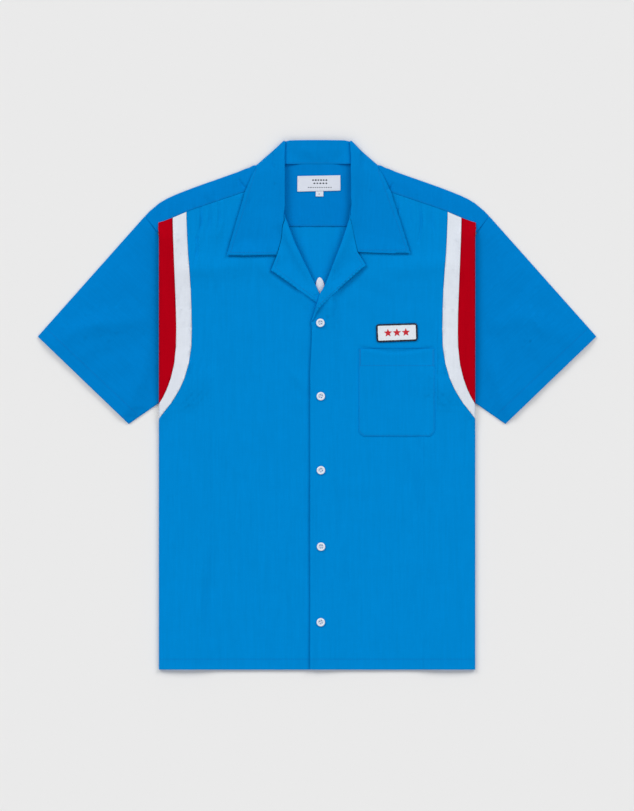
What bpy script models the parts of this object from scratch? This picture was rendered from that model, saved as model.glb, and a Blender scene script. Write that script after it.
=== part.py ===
"""Short-sleeve mechanic shirt with a camp collar, buttoned and laid flat on its back.

The wearer's left is at +X, the collar at +Y, and the cloth rests on z = 0. Sizes are
in millimetres here and become metres when a mesh is stored. Every panel is drawn as a
flat outline, cut into triangles, laid out by a function that gives the height of its
layer and turns its folded edges, and then thickened into a closed wall.
"""

import math

import bpy
import numpy as np
from mathutils.geometry import delaunay_2d_cdt

MM = 0.001

# Cloth and layers
WALL = 1.0
GAP = 0.3  # between pieces at a seam
PITCH = WALL + 2 * GAP  # from one layer to the next that lies on it
HALF_WALL = WALL / 2
SEAM = 0.15  # each panel stops this far short of its seam line
FIRST = HALF_WALL  # middle of a layer that lies on the floor
TIGHT = PITCH / 2  # middle radius of a fold with one layer each way
WIDE = 1.5 * PITCH  # middle radius of a fold that wraps a tight one

# Body, as it lies
HALF_BREADTH = 237.3  # centre to the folded side
TUCK = 53.0  # breadth of side folded under, out to the side seam
HEM_Y = -396.7
BACK_SEAM_Y = 268.0  # straight back yoke seam
FOLD_X = HALF_BREADTH - WIDE - HALF_WALL  # axis of the side folds
SLOPE = 40.0  # a layer comes down off an edge below it over this distance
LAP_X = 19.4  # the right front's own edge, under the left front
PLACKET_X = -10.3  # the left front's edge, on top

# Shoulder outline, from the neck out to the armhole: x, y
SHOULDER = (
    (60.0, 369.0),
    (67.6, 366.0),
    (80.0, 361.4),
    (90.0, 357.2),
    (94.0, 356.6),
    (98.5, 357.0),
    (116.3, 350.6),
    (150.3, 338.5),
    (184.1, 326.6),
    (199.8, 320.6),
    (214.7, 314.6),
    (227.3, 308.6),
    (237.5, 302.4),
    (245.0, 296.5),
    (251.4, 290.5),
    (258.2, 283.4),
)
# Armhole seam as it lies, from the shoulder down to the underarm: y, x
ARMHOLE = (
    (283.4, 258.2),
    (271.4, 248.7),
    (259.3, 239.2),
    (250.0, 235.2),
    (240.0, 233.0),
    (202.7, 228.5),
    (157.7, 224.0),
    (112.7, 216.0),
    (75.2, 205.0),
    (50.0, 193.5),
    (35.5, 184.3),
)
UNDERARM = (184.3, 35.5)
UNDERARM_SLOPE = 0.647  # fall of the sleeve's underarm edge for each mm outwards
# Front yoke seam, from the neck to the armhole: x, y
FRONT_SEAM = (
    (60.0, 337.5),
    (108.1, 320.2),
    (150.0, 306.0),
    (195.8, 290.1),
    (217.0, 281.1),
    (238.2, 272.9),
    (246.5, 270.0),
)

# Sleeve: corners of the cuff
CUFF_OUTER = (418.9, 102.9)
CUFF_INNER = (282.5, -28.2)

# Stripes on the fronts: height y, inner edge of the red, inner edge of the white
STRIPES = (
    (291.0, 217.0, 196.2),
    (243.5, 215.8, 194.2),
    (230.0, 215.3, 193.5),
    (181.3, 213.3, 189.8),
    (132.3, 211.6, 188.1),
    (103.3, 211.2, 187.9),
    (86.9, 211.8, 188.6),
    (60.9, 214.6, 192.8),
    (34.9, 221.4, 200.9),
    (15.4, 229.4, 210.9),
    (3.1, 236.5, 218.9),
)
RED_END_Y = -46.0  # where the red's edge meets the side seam, in the flat cut
WHITE_END_Y = -80.0

# Collar: sides differ a little, as they lie. For each side, in x outwards and y:
# neck seam, roll and outer edge at each section from the gorge up to the shoulder fold
COLLAR_RIGHT = (
    (44.6, 277.5, 45.9, 277.0, 60.7, 225.4),
    (46.0, 287.0, 47.0, 286.0, 84.0, 224.9),
    (48.6, 298.0, 47.7, 298.0, 110.0, 224.5),
    (52.0, 311.0, 47.9, 311.0, 135.7, 224.6),
    (57.0, 330.0, 47.9, 330.0, 122.4, 271.0),
    (61.5, 348.0, 47.9, 350.0, 108.1, 320.2),
    (65.0, 359.0, 47.9, 374.0, 97.4, 346.5),
)
COLLAR_LEFT = (
    (47.4, 281.0, 48.9, 280.5, 61.4, 230.1),
    (48.6, 290.0, 50.0, 288.5, 84.0, 228.9),
    (50.4, 300.0, 51.0, 300.0, 112.0, 227.9),
    (53.0, 312.0, 51.2, 312.0, 140.0, 227.9),
    (57.5, 331.0, 51.0, 331.0, 126.2, 272.0),
    (62.0, 348.0, 50.2, 350.0, 110.9, 320.2),
    (65.3, 359.0, 49.4, 374.0, 98.4, 346.5),
)
COLLAR_FOLD = (67.6, 364.9, 46.9, 394.4, 91.3, 356.0)
# Behind the neck, outwards from the middle: share of the way, neck seam y, roll y, edge y
COLLAR_BACK = (
    (0.85, 362.6, 396.0, 354.6),
    (0.6, 361.9, 396.3, 353.3),
    (0.3, 361.8, 396.4, 352.7),
    (0.0, 361.8, 396.4, 352.5),
)
NECK_HALF = 67.6

# Lapels, as they lie: top and foot of the roll, then gorge end, point and foot
LAPEL_RIGHT = {
    "roll": ((-45.2, 281.0), (18.2, 141.0)),
    "edge": ((-44.7, 277.0), (-60.1, 225.0), (-69.1, 202.3), (-30.0, 174.6), (18.6, 140.0)),
}
LAPEL_LEFT = {
    "roll": ((49.6, 282.0), (-9.1, 129.0)),
    "edge": (
        (48.9, 279.0),
        (60.8, 229.6),
        (73.4, 210.2),
        (28.9, 170.6),
        (-0.7, 141.3),
        (-8.6, 128.0),
    ),
}

# Trims
POCKET = {"left": 62.0, "right": 176.9, "top": 84.2, "bottom": -47.2, "round": 10.5}
NAME_PATCH = ((89.9, 94.7), (150.7, 97.0), (149.8, 122.6), (88.9, 120.8))
NECK_LABEL = ((-29.6, 320.2), (35.2, 321.8), (35.0, 344.8), (-29.4, 343.6))
SIZE_TAB = ((-2.0, 313.0), (9.5, 313.0), (9.5, 320.8), (-2.0, 320.6))
BACK_PATCH = {"centre": (5.0, 169.5), "long": 22.5, "short": 9.5, "turn": 96.0}
BUTTON_RADIUS = 6.35
BUTTON_HEIGHT = 2.4
BUTTON_EDGE = 1.5  # height at the outer edge
BUTTON_DISH = 1.6  # height inside the rim
BUTTON_RIM = 5.0
BUTTON_HOLE = 0.85
BUTTON_HOLE_RING = 1.75
BUTTON_PLACES = ((5.0, 123.5), (5.6, 13.4), (5.8, -97.7), (6.0, -212.3), (5.6, -325.7))

# Soft creases of the upper layers: start x, y, end x, y, half-width, height
CREASES = (
    (-185.0, 205.0, -95.0, 218.0, 13.0, 1.5),
    (185.0, 212.0, 90.0, 206.0, 13.0, 1.5),
    (-148.0, 300.0, -146.0, 262.0, 8.0, 1.0),
    (-194.0, 52.0, -190.0, 5.0, 10.0, 1.2),
    (194.0, 52.0, 190.0, 5.0, 10.0, 1.2),
    (-38.0, 56.0, -16.0, 26.0, 8.0, 0.9),
    (-134.0, -250.0, -138.0, -350.0, 12.0, 1.6),
    (-96.0, -120.0, -92.0, -262.0, 12.0, 1.3),
    (-72.0, -300.0, -38.0, -160.0, 13.0, 1.1),
    (166.0, -60.0, 150.0, -200.0, 13.0, 1.6),
    (128.0, -200.0, 150.0, -310.0, 12.0, 1.3),
    (36.0, -222.0, 48.0, -350.0, 11.0, 1.3),
)
LOFT = 0.8  # the fronts' general rise over the back
# Creases of a sleeve's upper layer, over the right one: start x, y, end x, y, half-width, height
SLEEVE_CREASES = (
    (-378.0, 84.0, -322.0, 118.0, 14.0, 1.6),
    (-322.0, 118.0, -268.0, 126.0, 14.0, 1.8),
    (-262.0, 58.0, -284.0, -10.0, 13.0, 1.6),
    (-300.0, 200.0, -268.0, 170.0, 14.0, 1.2),
)

# A lattice that all the body's layers share, so that they bend at the same places
BODY_COLUMNS = (0, 60, 112, 139, 150, 160, 170, 181, 192, 204, 217, 230)
LAP_COLUMNS = (12, 21, 27, 34)
BODY_ROWS = (-320, -240, -160, -95, -50, -35, -22, -10, 1, 12, 24, 40, 62, 88, 115, 145, 175,
             205, 228, 242, 251, 259, 266, 274)
STRIP_COLUMNS = (226.0, 212.0, 198.0)
SEAM_COLUMNS = (66, 75, 90, 112, 125, 139, 150, 160, 170, 181, 190)  # along the front yoke seam
YOKE_COLUMNS = (20, 66, 80, 92, 100, 108, 118, 140, 165, 184, 200, 214, 225, 233, 240, 248)
YOKE_ROWS = (-90, -72, -55, -40, -26, -13, 15, 30)
YOKE_FOLD_COLUMNS = (-262, -250, -236, -225, -214, -200, -184, -165, -140, -118, -108, -100,
                     -94, -88, -80, -66)
YOKE_FOOT_Y = 259.5  # lowest point of the yoke, at the armhole
SLEEVE_SHARES = (0.0, 0.08, 0.18, 0.32, 0.48, 0.65, 0.83, 1.0)  # armhole to cuff
SLEEVE_ROWS = (283.2, 271.4, 259.3, 240.0, 210.0, 175.0, 140.0, 105.0, 75.2, 52.0, 38.5)
LEAF_SHARES = (0.0, 0.15, 0.35, 0.55, 0.78, 1.0)  # the collar's roll to its outer edge
FOLD_TURNS = np.linspace(0.0, math.pi, 5)  # the bends of a folded edge
SEAM_X = 2 * FOLD_X + math.pi * WIDE - HALF_BREADTH + TUCK  # the fronts' side seam as cut
FOLD_START = FOLD_X + 0.8  # the fronts reach this far at the yoke seam, before the fold
TOP_OF_FOLDS_Y = 285.0

COLOURS = {
    "blue": (0.0, 0.245, 0.645, 1.0),
    "white": (0.73, 0.77, 0.84, 1.0),
    "red": (0.445, 0.0, 0.012, 1.0),
    "label": (0.75, 0.77, 0.83, 1.0),
    "button": (0.86, 0.88, 0.9, 1.0),
}


# ---------------------------------------------------------------- curves


def ease(t):
    """0 up to t = 0, 1 from t = 1, smooth between."""
    t = np.clip(t, 0.0, 1.0)
    return t * t * (3 - 2 * t)


def curve(rows, at):
    """A smooth line through (where, value) rows, read at the given places."""
    rows = sorted(rows)
    where = np.array([row[0] for row in rows])
    value = np.array([row[1] for row in rows])
    step = np.diff(where)
    rise = np.diff(value) / step
    slope = np.empty_like(value)
    slope[0], slope[-1] = rise[0], rise[-1]
    same = rise[:-1] * rise[1:] > 0
    mean = (step[1:] * rise[:-1] + step[:-1] * rise[1:]) / (step[1:] + step[:-1])
    slope[1:-1] = np.where(same, mean, 0.0)
    at = np.clip(np.asarray(at, float), where[0], where[-1])
    cell = np.clip(np.searchsorted(where, at) - 1, 0, len(step) - 1)
    t = (at - where[cell]) / step[cell]
    h = step[cell]
    return (
        value[cell] * (1 + 2 * t) * (1 - t) ** 2
        + value[cell + 1] * t * t * (3 - 2 * t)
        + h * slope[cell] * t * (1 - t) ** 2
        + h * slope[cell + 1] * t * t * (t - 1)
    )


def shoulder_y(x):
    return curve(SHOULDER, np.abs(x))


def shoulder_lean(x):
    """How much longer the shoulder edge is than its own breadth."""
    step = 0.5
    rise = (shoulder_y(np.abs(x) + step) - shoulder_y(np.abs(x) - step)) / (2 * step)
    return np.sqrt(1 + rise * rise)


def armhole_x(y):
    return curve(ARMHOLE, y)


def front_seam_y(x):
    return curve(FRONT_SEAM, np.abs(x))


def ridge(x, y, row):
    """Height of one soft crease, rounded at its ends."""
    x0, y0, x1, y1, width, height = row
    along = np.array((x1 - x0, y1 - y0))
    length = np.hypot(*along)
    t = np.clip(((x - x0) * along[0] + (y - y0) * along[1]) / length**2, 0.0, 1.0)
    away = np.hypot(x - x0 - t * along[0], y - y0 - t * along[1])
    return height * ease(1.6 - away / width)


# ---------------------------------------------------------------- heights


def over_sleeve(x, y):
    """1 where a sleeve's hidden end lies underneath, 0 away from it."""
    underarm_y = UNDERARM[1] - UNDERARM_SLOPE * (np.abs(x) - UNDERARM[0])
    low = ease((y - underarm_y + SLOPE + 2) / SLOPE)
    return low * ease((289.0 - y) / 32.0)


def tuck_floor(x, y):
    """Underside of the tucked side strips."""
    return 2 * PITCH * over_sleeve(x, y)


def support(x, y):
    """Underside of the back and the yoke's back, over all that lies beneath them."""
    inner = np.where(y > UNDERARM[1], armhole_x(y), UNDERARM[0])
    side = ease((np.abs(x) - inner + SLOPE + 2) / SLOPE)
    strips = 2 * PITCH * ease((284.0 - y) / 33.0)
    edge_y = curve(((0.0, 352.5), (50.0, 353.5), (95.0, 352.0)), np.abs(x))
    neck = ease((y - edge_y + SLOPE) / SLOPE) * ease((95.0 + SLOPE - np.abs(x)) / SLOPE)
    return side * (tuck_floor(x, y) + strips) + PITCH * neck


def loft(x, y):
    """Rise of the upper layers over the back, with their creases."""
    inside = ease((228.0 - np.abs(x)) / 26.0) * ease((shoulder_y(x) - y - 3.0) / 28.0)
    total = LOFT + sum(ridge(x, y, row) for row in CREASES)
    away = np.hypot(x - BACK_PATCH["centre"][0], y - BACK_PATCH["centre"][1])
    return inside * total + PITCH * ease((BACK_PATCH["long"] + 14.0 - away) / 12.0)


def right_front_z(x, y):
    return support(x, y) + loft(x, y) + FIRST + PITCH


def left_front_z(x, y):
    """The left front laps over the right one's edge and over its lapel."""
    lap = ease((LAP_X + 1.5 + 12.0 - x) / 12.0)
    foot = ease((y - 118.0) / 20.0) * ease((196.0 - y) / 14.0) * ease((LAP_X + 14.0 - x) / 12.0)
    return right_front_z(x, y) + PITCH * (lap + 1.25 * foot)


# ---------------------------------------------------------------- laying out


def side_fold(u, y, radius, level):
    """Lays a panel's point out: u is its distance from the centre, measured in the cloth.

    Past the fold axis the cloth turns under, round to the strip beneath.
    """
    side = np.sign(u)
    out = np.abs(u) - FOLD_X
    turn = np.clip(out / radius, 0.0, math.pi)
    past = np.clip(out - math.pi * radius, 0.0, None)
    flat = np.minimum(out, 0.0)
    x = FOLD_X + flat + radius * np.sin(turn) - past
    top = level(side * (FOLD_X + flat), y)
    z_under = tuck_floor(x, y) + (WIDE + HALF_WALL) - radius
    z_turn = top - radius * (1 - np.cos(turn))
    z = np.where(past > 0, z_under, z_turn)
    return np.stack((side * x, y, z), axis=-1)


def under(x, radius):
    """Distance in the cloth of a point that ends up under the side, at breadth x."""
    return 2 * FOLD_X + math.pi * radius - x


def back_layout(p):
    return side_fold(p[:, 0], p[:, 1], TIGHT, lambda x, y: support(x, y) + FIRST)


def lapel_fold(p, roll, level):
    """Turns what lies past the roll line back over the panel."""
    top, foot = np.array(roll[0]), np.array(roll[1])
    along = (foot - top) / np.hypot(*(foot - top))
    outward = np.array((-along[1], along[0]))
    if (np.array((0.0, 400.0)) - top) @ outward < 0:
        outward = -outward
    past = (p - top) @ outward
    turn = np.clip(past / TIGHT, 0.0, math.pi)
    back = np.clip(past - math.pi * TIGHT, 0.0, None)
    shift = np.where(past > 0, TIGHT * np.sin(turn) - back - past, 0.0)
    plan = p + shift[:, None] * outward
    z = level(plan[:, 0], plan[:, 1]) + TIGHT * (1 - np.cos(turn))
    return plan, z, past


def right_front_layout(p):
    plan, z, past = lapel_fold(p, LAPEL_RIGHT["roll"], right_front_z)
    laid = side_fold(p[:, 0], p[:, 1], WIDE, right_front_z)
    lapel = (past > -1.0) & (p[:, 0] > -150.0)
    return np.where(lapel[:, None], np.column_stack((plan, z)), laid)


def left_front_layout(p):
    plan, z, past = lapel_fold(p, LAPEL_LEFT["roll"], left_front_z)
    laid = side_fold(p[:, 0], p[:, 1], WIDE, left_front_z)
    lapel = (past > -1.0) & (p[:, 0] < 150.0)
    return np.where(lapel[:, None], np.column_stack((plan, z)), laid)


def yoke_axis_y(x):
    return shoulder_y(x) - (TIGHT + HALF_WALL) * shoulder_lean(x)


def yoke_layout(p):
    """The yoke's second coordinate runs over the shoulder: below 0 it is the back."""
    x, v = p[:, 0], p[:, 1]
    turn = np.clip(v / TIGHT, 0.0, math.pi)
    past = np.clip(v - math.pi * TIGHT, 0.0, None)
    y = yoke_axis_y(x) + np.minimum(v, 0.0) + TIGHT * shoulder_lean(x) * np.sin(turn) - past
    low = support(x, y) + FIRST
    rise = np.where(past > 0, loft(x, y), 0.0)
    flat = np.abs(x) > HALF_BREADTH
    low = np.where(flat, support(np.sign(x) * 400.0, 400.0 + 0 * y) + FIRST, low)
    return np.stack((x, y, low + TIGHT * (1 - np.cos(turn)) + rise), axis=-1)


# ---------------------------------------------------------------- walls


def inside(points, outline):
    """Which points lie in the outline."""
    a = np.asarray(outline)
    b = np.roll(a, -1, axis=0)
    x, y = points[:, :1], points[:, 1:]
    crosses = (a[:, 1] > y) != (b[:, 1] > y)
    height = np.where(b[:, 1] == a[:, 1], 1.0, b[:, 1] - a[:, 1])
    where = a[:, 0] + (y - a[:, 1]) / height * (b[:, 0] - a[:, 0])
    return (crosses & (x < where)).sum(axis=1) % 2 == 1


def clearance(points, a, b):
    """Distance from each point to the nearest of the segments a to b."""
    along = b - a
    length = np.maximum((along**2).sum(axis=1), 1e-9)
    t = ((points[:, None] - a) * along).sum(axis=2) / length
    near = a + np.clip(t, 0.0, 1.0)[..., None] * along
    return np.hypot(*np.moveaxis(points[:, None] - near, 2, 0)).min(axis=1)


def cut(outline, columns=(), rows=(), lines=(), holes=(), margin=3.0):
    """Triangles of a flat piece, with a lattice inside it and edges along its folds."""
    outline = np.asarray(outline, float)
    points = [tuple(p) for p in outline]
    loops = [list(range(len(points)))]
    for hole in holes:
        loops.append(list(range(len(points), len(points) + len(hole))))
        points += [tuple(p) for p in hole]
    edges = []
    for line in lines:
        start = len(points)
        points += [tuple(p) for p in line]
        edges += [(i, i + 1) for i in range(start, len(points) - 1)]
    if len(columns) and len(rows):
        grid = np.array([(x, y) for x in columns for y in rows], float)
        starts = np.concatenate([outline] + [np.asarray(line)[:-1] for line in lines])
        ends = np.concatenate(
            [np.roll(outline, -1, axis=0)] + [np.asarray(line)[1:] for line in lines]
        )
        grid = grid[inside(grid, outline)]
        grid = grid[clearance(grid, starts, ends) > margin]
        points += [tuple(p) for p in grid]
    found = delaunay_2d_cdt(points, edges, loops, 1, 1e-5)
    flat = np.array([tuple(p) for p in found[0]])
    faces = np.array([tuple(f) for f in found[2]])
    middle = flat[faces].mean(axis=1)
    keep = inside(middle, outline)
    for hole in holes:
        keep &= ~inside(middle, hole)
    faces = faces[keep]
    used, index = np.unique(faces, return_inverse=True)
    return flat[used], index.reshape(-1, 3)


def rim_edges(faces):
    """The edges that belong to one face only, in that face's direction."""
    count = {}
    for face in faces:
        for i, a in enumerate(face):
            b = face[(i + 1) % len(face)]
            count[(a, b)] = count.get((a, b), 0) + 1
    return [edge for edge in count if (edge[1], edge[0]) not in count]


def closed(upper, lower, faces):
    """One closed mesh from two like surfaces and the rim between them."""
    size = len(upper)
    body = [tuple(face) for face in faces]
    body += [tuple(size + i for i in reversed(face)) for face in faces]
    body += [(b, a, size + a, size + b) for a, b in rim_edges([tuple(f) for f in faces])]
    return np.concatenate((upper, lower)), body


def wall(flat, faces, layout, thickness=WALL):
    """Lays a flat piece out and gives it its thickness, half to each side."""
    step = 0.02
    middle = layout(flat)
    du = layout(flat + (step, 0.0)) - layout(flat - (step, 0.0))
    dv = layout(flat + (0.0, step)) - layout(flat - (0.0, step))
    normal = np.cross(du, dv)
    normal /= np.linalg.norm(normal, axis=1)[:, None]
    return closed(middle + normal * thickness / 2, middle - normal * thickness / 2, faces)


def store(name, points, faces, colour):
    """Makes the object, with its faces pointing outwards."""
    triangles = [(f[0], f[i], f[i + 1]) for f in faces for i in range(1, len(f) - 1)]
    if np.linalg.det(points[np.array(triangles)]).sum() < 0:
        faces = [tuple(reversed(face)) for face in faces]
    mesh = bpy.data.meshes.new(name)
    mesh.from_pydata((points * MM).tolist(), [], [tuple(map(int, f)) for f in faces])
    mesh.update()
    mesh.materials.append(material(colour))
    obj = bpy.data.objects.new(name, mesh)
    bpy.context.scene.collection.objects.link(obj)
    mesh.shade_smooth()
    mesh.set_sharp_from_angle(angle=math.radians(35))
    return obj


def material(name):
    found = bpy.data.materials.get(name)
    if found:
        return found
    made = bpy.data.materials.new(name)
    made.use_nodes = True
    shader = made.node_tree.nodes["Principled BSDF"]
    shader.inputs["Base Color"].default_value = COLOURS[name]
    shader.inputs["Roughness"].default_value = 0.35 if name == "button" else 0.85
    shader.inputs["Metallic"].default_value = 0.0
    return made


# ---------------------------------------------------------------- outlines


def spread(start, end, spacing):
    """Evenly spaced values from start to end, both kept."""
    count = max(1, round(abs(end - start) / spacing))
    return np.linspace(start, end, count + 1)


def fold_lines(radius, top, sides=(-1, 1)):
    """Upright lines along the side folds, close enough to turn the cloth."""
    ys = (HEM_Y - 5.0,) + BODY_ROWS + (top,)
    out = FOLD_X + radius * FOLD_TURNS
    return [[(side * u, y) for y in ys] for side in sides for u in out]


def mirrored(points):
    return [(-x, y) for x, y in reversed(points)]


def tucked_side(radius, bottom_y):
    """One side of a panel as cut: the armhole below the fold's top, then the side seam."""
    rows = [y for y in BODY_ROWS if y > UNDERARM[1] and y < 255.0] + [UNDERARM[1]]
    armhole = [(float(under(armhole_x(y), radius)), y) for y in sorted(rows, reverse=True)]
    seam_x = under(HALF_BREADTH - TUCK, radius)
    rows = [y for y in BODY_ROWS if bottom_y + 5.0 < y < 25.0] + [bottom_y]
    return armhole + [(seam_x, y) for y in sorted(rows, reverse=True)]


def body_columns(radius):
    centre = [side * x for x in BODY_COLUMNS for side in (-1, 1)]
    strips = [under(x, radius) for x in STRIP_COLUMNS]
    return sorted(set(centre + strips + [-x for x in strips]))


def make_back():
    seam = BACK_SEAM_Y - SEAM
    corner = [(FOLD_X + 0.4, seam), (FOLD_X + 0.4, 258.0)]
    right = corner + tucked_side(TIGHT, HEM_Y)
    across = [(x, HEM_Y) for x in body_columns(TIGHT)[-3:2:-1]]
    top = [(x, seam) for x in body_columns(TIGHT) if abs(x) < FOLD_X - 2.0]
    outline = right + across + mirrored(right) + top
    flat, faces = cut(outline, body_columns(TIGHT), BODY_ROWS, fold_lines(TIGHT, 272.0))
    store("back", *wall(flat, faces, back_layout), "blue")


def yoke_v(x, y, front):
    """The yoke's own second coordinate of a point in plan."""
    if front:
        return yoke_axis_y(x) - y + math.pi * TIGHT
    return y - yoke_axis_y(x)


def make_yoke():
    side = []
    side.append((230.0, yoke_v(230.0, BACK_SEAM_Y + SEAM, False)))
    corner = HALF_BREADTH + GAP
    side.append((corner, yoke_v(corner, BACK_SEAM_Y + SEAM, False)))
    side.append((corner, yoke_v(corner, YOKE_FOOT_Y, False)))
    edge = [(float(armhole_x(y)) - SEAM, float(y)) for y in spread(YOKE_FOOT_Y + 1.0, 282.6, 8.0)]
    side += [(x, yoke_v(x, y, False)) for x, y in edge]
    side += [(x, yoke_v(x, y, True)) for x, y in reversed(edge)]
    side.append((corner, yoke_v(corner, YOKE_FOOT_Y, True)))
    side.append((corner, yoke_v(corner, front_seam_y(corner) + 1.2, True)))
    for x in (236.2, FOLD_START, 230.0, 217.0, 204.0, 192.0, 181.0, 170.0, 160.0, 150.0, 139.0,
              125.0, 112.0, 90.0, 75.0, 66.0):
        side.append((x, yoke_v(x, front_seam_y(x) + SEAM, True)))
    neck = [(row[0] + 2 * GAP, row[1]) for row in COLLAR_LEFT[::-1]]
    neck = [(x, y) for x, y in neck if y > front_seam_y(x) + 4]
    front_end = neck[-1][0] - 1.2
    side.append((front_end, yoke_v(front_end, front_seam_y(front_end) + SEAM, True)))
    side += [(x, yoke_v(x, y, True)) for x, y in reversed(neck)]
    side += [(NECK_HALF + 3 * GAP, TIGHT * math.pi), (NECK_HALF + 3 * GAP, -0.3)]
    inner = [(share * NECK_HALF, y) for share, y, _, _ in COLLAR_BACK]
    side += [(x, yoke_v(x, y - GAP, False)) for x, y in inner[:-1]]
    seam = [x for x in body_columns(TIGHT) if abs(x) < 222.0]
    seam = [(x, yoke_v(x, BACK_SEAM_Y + SEAM, False)) for x in seam]
    outline = mirrored(side) + seam + side
    turn = TIGHT * FOLD_TURNS
    lines = [[(s * x, v) for x in YOKE_FOLD_COLUMNS] for s in (1, -1) for v in turn]
    columns = [s * x for s in (-1, 1) for x in YOKE_COLUMNS]
    flat, faces = cut(outline, columns, YOKE_ROWS, lines, margin=2.5)
    store("yoke", *wall(flat, faces, yoke_layout), "blue")


def moved(line, distance):
    """A line moved sideways, to the right of its direction."""
    line = np.asarray(line, float)
    way = np.gradient(line, axis=0)
    way /= np.hypot(way[:, 0], way[:, 1])[:, None]
    return line + distance * np.column_stack((way[:, 1], -way[:, 0]))


def stripe_line(column, end_y):
    """A stripe's edge as cut, from above the yoke seam to past the side seam."""
    table = [(row[0], row[column]) for row in STRIPES]
    rows = [291.0, 280.0] + [y for y in BODY_ROWS[::-1] if y > 10.0] + [STRIPES[-1][0]]
    points = [(float(curve(table, y)), float(y)) for y in rows]
    last, stop = np.array(points[-1]), np.array((SEAM_X, end_y))
    for t in (0.25, 0.5, 0.75, 0.95, 1.1):
        points.append(tuple(last + (stop - last) * t - (0.0, 14.0 * t * (1 - t))))
    return points


def stripe_side(column, end_y, offset):
    """A stripe's edge moved off its seam, and ended on the yoke seam and the side seam."""
    line = moved(stripe_line(column, end_y), offset)
    line = [p for p in line if p[1] < front_seam_y(p[0]) - 2.0]
    x = line[0][0] + (line[0][0] - line[1][0]) * 0.3
    top = (x, float(front_seam_y(x)) - SEAM)
    before, after = line[-2], line[-1]
    share = (SEAM_X - before[0]) / (after[0] - before[0])
    end = (SEAM_X, before[1] + (after[1] - before[1]) * share)
    return [top] + [tuple(p) for p in line[:-1]] + [end]


def make_stripes(name, side, layout):
    top = float(front_seam_y(FOLD_START)) - SEAM
    outer = [(FOLD_START, top), (FOLD_START, 268.5)]
    red_in = stripe_side(1, RED_END_Y, -SEAM)
    white_out = stripe_side(1, RED_END_Y, SEAM)
    white_in = stripe_side(2, WHITE_END_Y, -SEAM)
    folds = fold_lines(WIDE, TOP_OF_FOLDS_Y, (1,))
    for label, outline in (
        ("red", outer + tucked_side(WIDE, red_in[-1][1]) + red_in[-2::-1]),
        ("white", white_out + white_in[::-1]),
    ):
        flat, faces = cut(outline, body_columns(WIDE), BODY_ROWS, folds, margin=2.5)
        flat = flat * (side, 1.0)
        store("stripe_" + label + "_" + name, *wall(flat, faces, layout), label)


def reflected(point, roll):
    """A point of a turned-back lapel, in the flat cut."""
    top, foot = np.array(roll[0]), np.array(roll[1])
    along = (foot - top) / np.hypot(*(foot - top))
    from_top = np.array(point) - top
    outward = np.array((-along[1], along[0]))
    away = from_top @ outward
    towards = -1.0 if (np.array((0.0, 400.0)) - top) @ outward < 0 else 1.0
    folded = math.pi * TIGHT * towards
    return tuple(top + (from_top @ along) * along + (folded - away) * outward)


def make_front(name, side, lapel, collar, layout, edge_x):
    """A front: neck, lapel, front edge, hem, side and stripe, drawn for the side at side."""
    roll = [np.array((side * x, y)) for x, y in lapel["roll"]]
    flap = [reflected(p, lapel["roll"]) for p in lapel["edge"]]
    flap = [(side * x, y) for x, y in flap]
    white = stripe_side(2, WHITE_END_Y, SEAM)
    outer = white + [(SEAM_X, y) for y in BODY_ROWS[::-1] if y < white[-1][1] - 5.0]
    outer.append((SEAM_X, HEM_Y))
    columns = sorted(set(body_columns(WIDE) + list(LAP_COLUMNS)) | {-x for x in LAP_COLUMNS})
    columns = [x for x in columns if x > side * edge_x + 4.0]
    hem = [(x, HEM_Y) for x in columns[-3::-1]] + [(side * edge_x, HEM_Y)]
    edge = [(side * edge_x, y) for y in BODY_ROWS if y < flap[-1][1] - 12.0]
    neck = [(row[0] + 2 * GAP, row[1]) for row in collar[1:]]
    neck = [(x, y) for x, y in neck if y < front_seam_y(x) - 3.0]
    seam = (neck[-1][0] + 0.6,) + SEAM_COLUMNS
    top = [(x, float(front_seam_y(x)) - SEAM) for x in seam]
    outline = outer + hem + edge + flap[::-1] + neck + top
    along = (roll[1] - roll[0]) / np.hypot(*(roll[1] - roll[0]))
    outward = np.array((-along[1], along[0]))
    if (np.array((0.0, 400.0)) - roll[0]) @ outward < 0:
        outward = -outward
    folds = fold_lines(WIDE, TOP_OF_FOLDS_Y, (1,))
    length = np.hypot(*(roll[1] - roll[0]))
    for turn in TIGHT * FOLD_TURNS:
        stations = spread(-6.0, length + 8.0, 16.0)
        folds.append([tuple(roll[0] + s * along + turn * outward) for s in stations])
    flat, faces = cut(outline, columns, BODY_ROWS, folds)
    flat = flat * (side, 1.0)
    store(name, *wall(flat, faces, layout), "blue")


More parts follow.
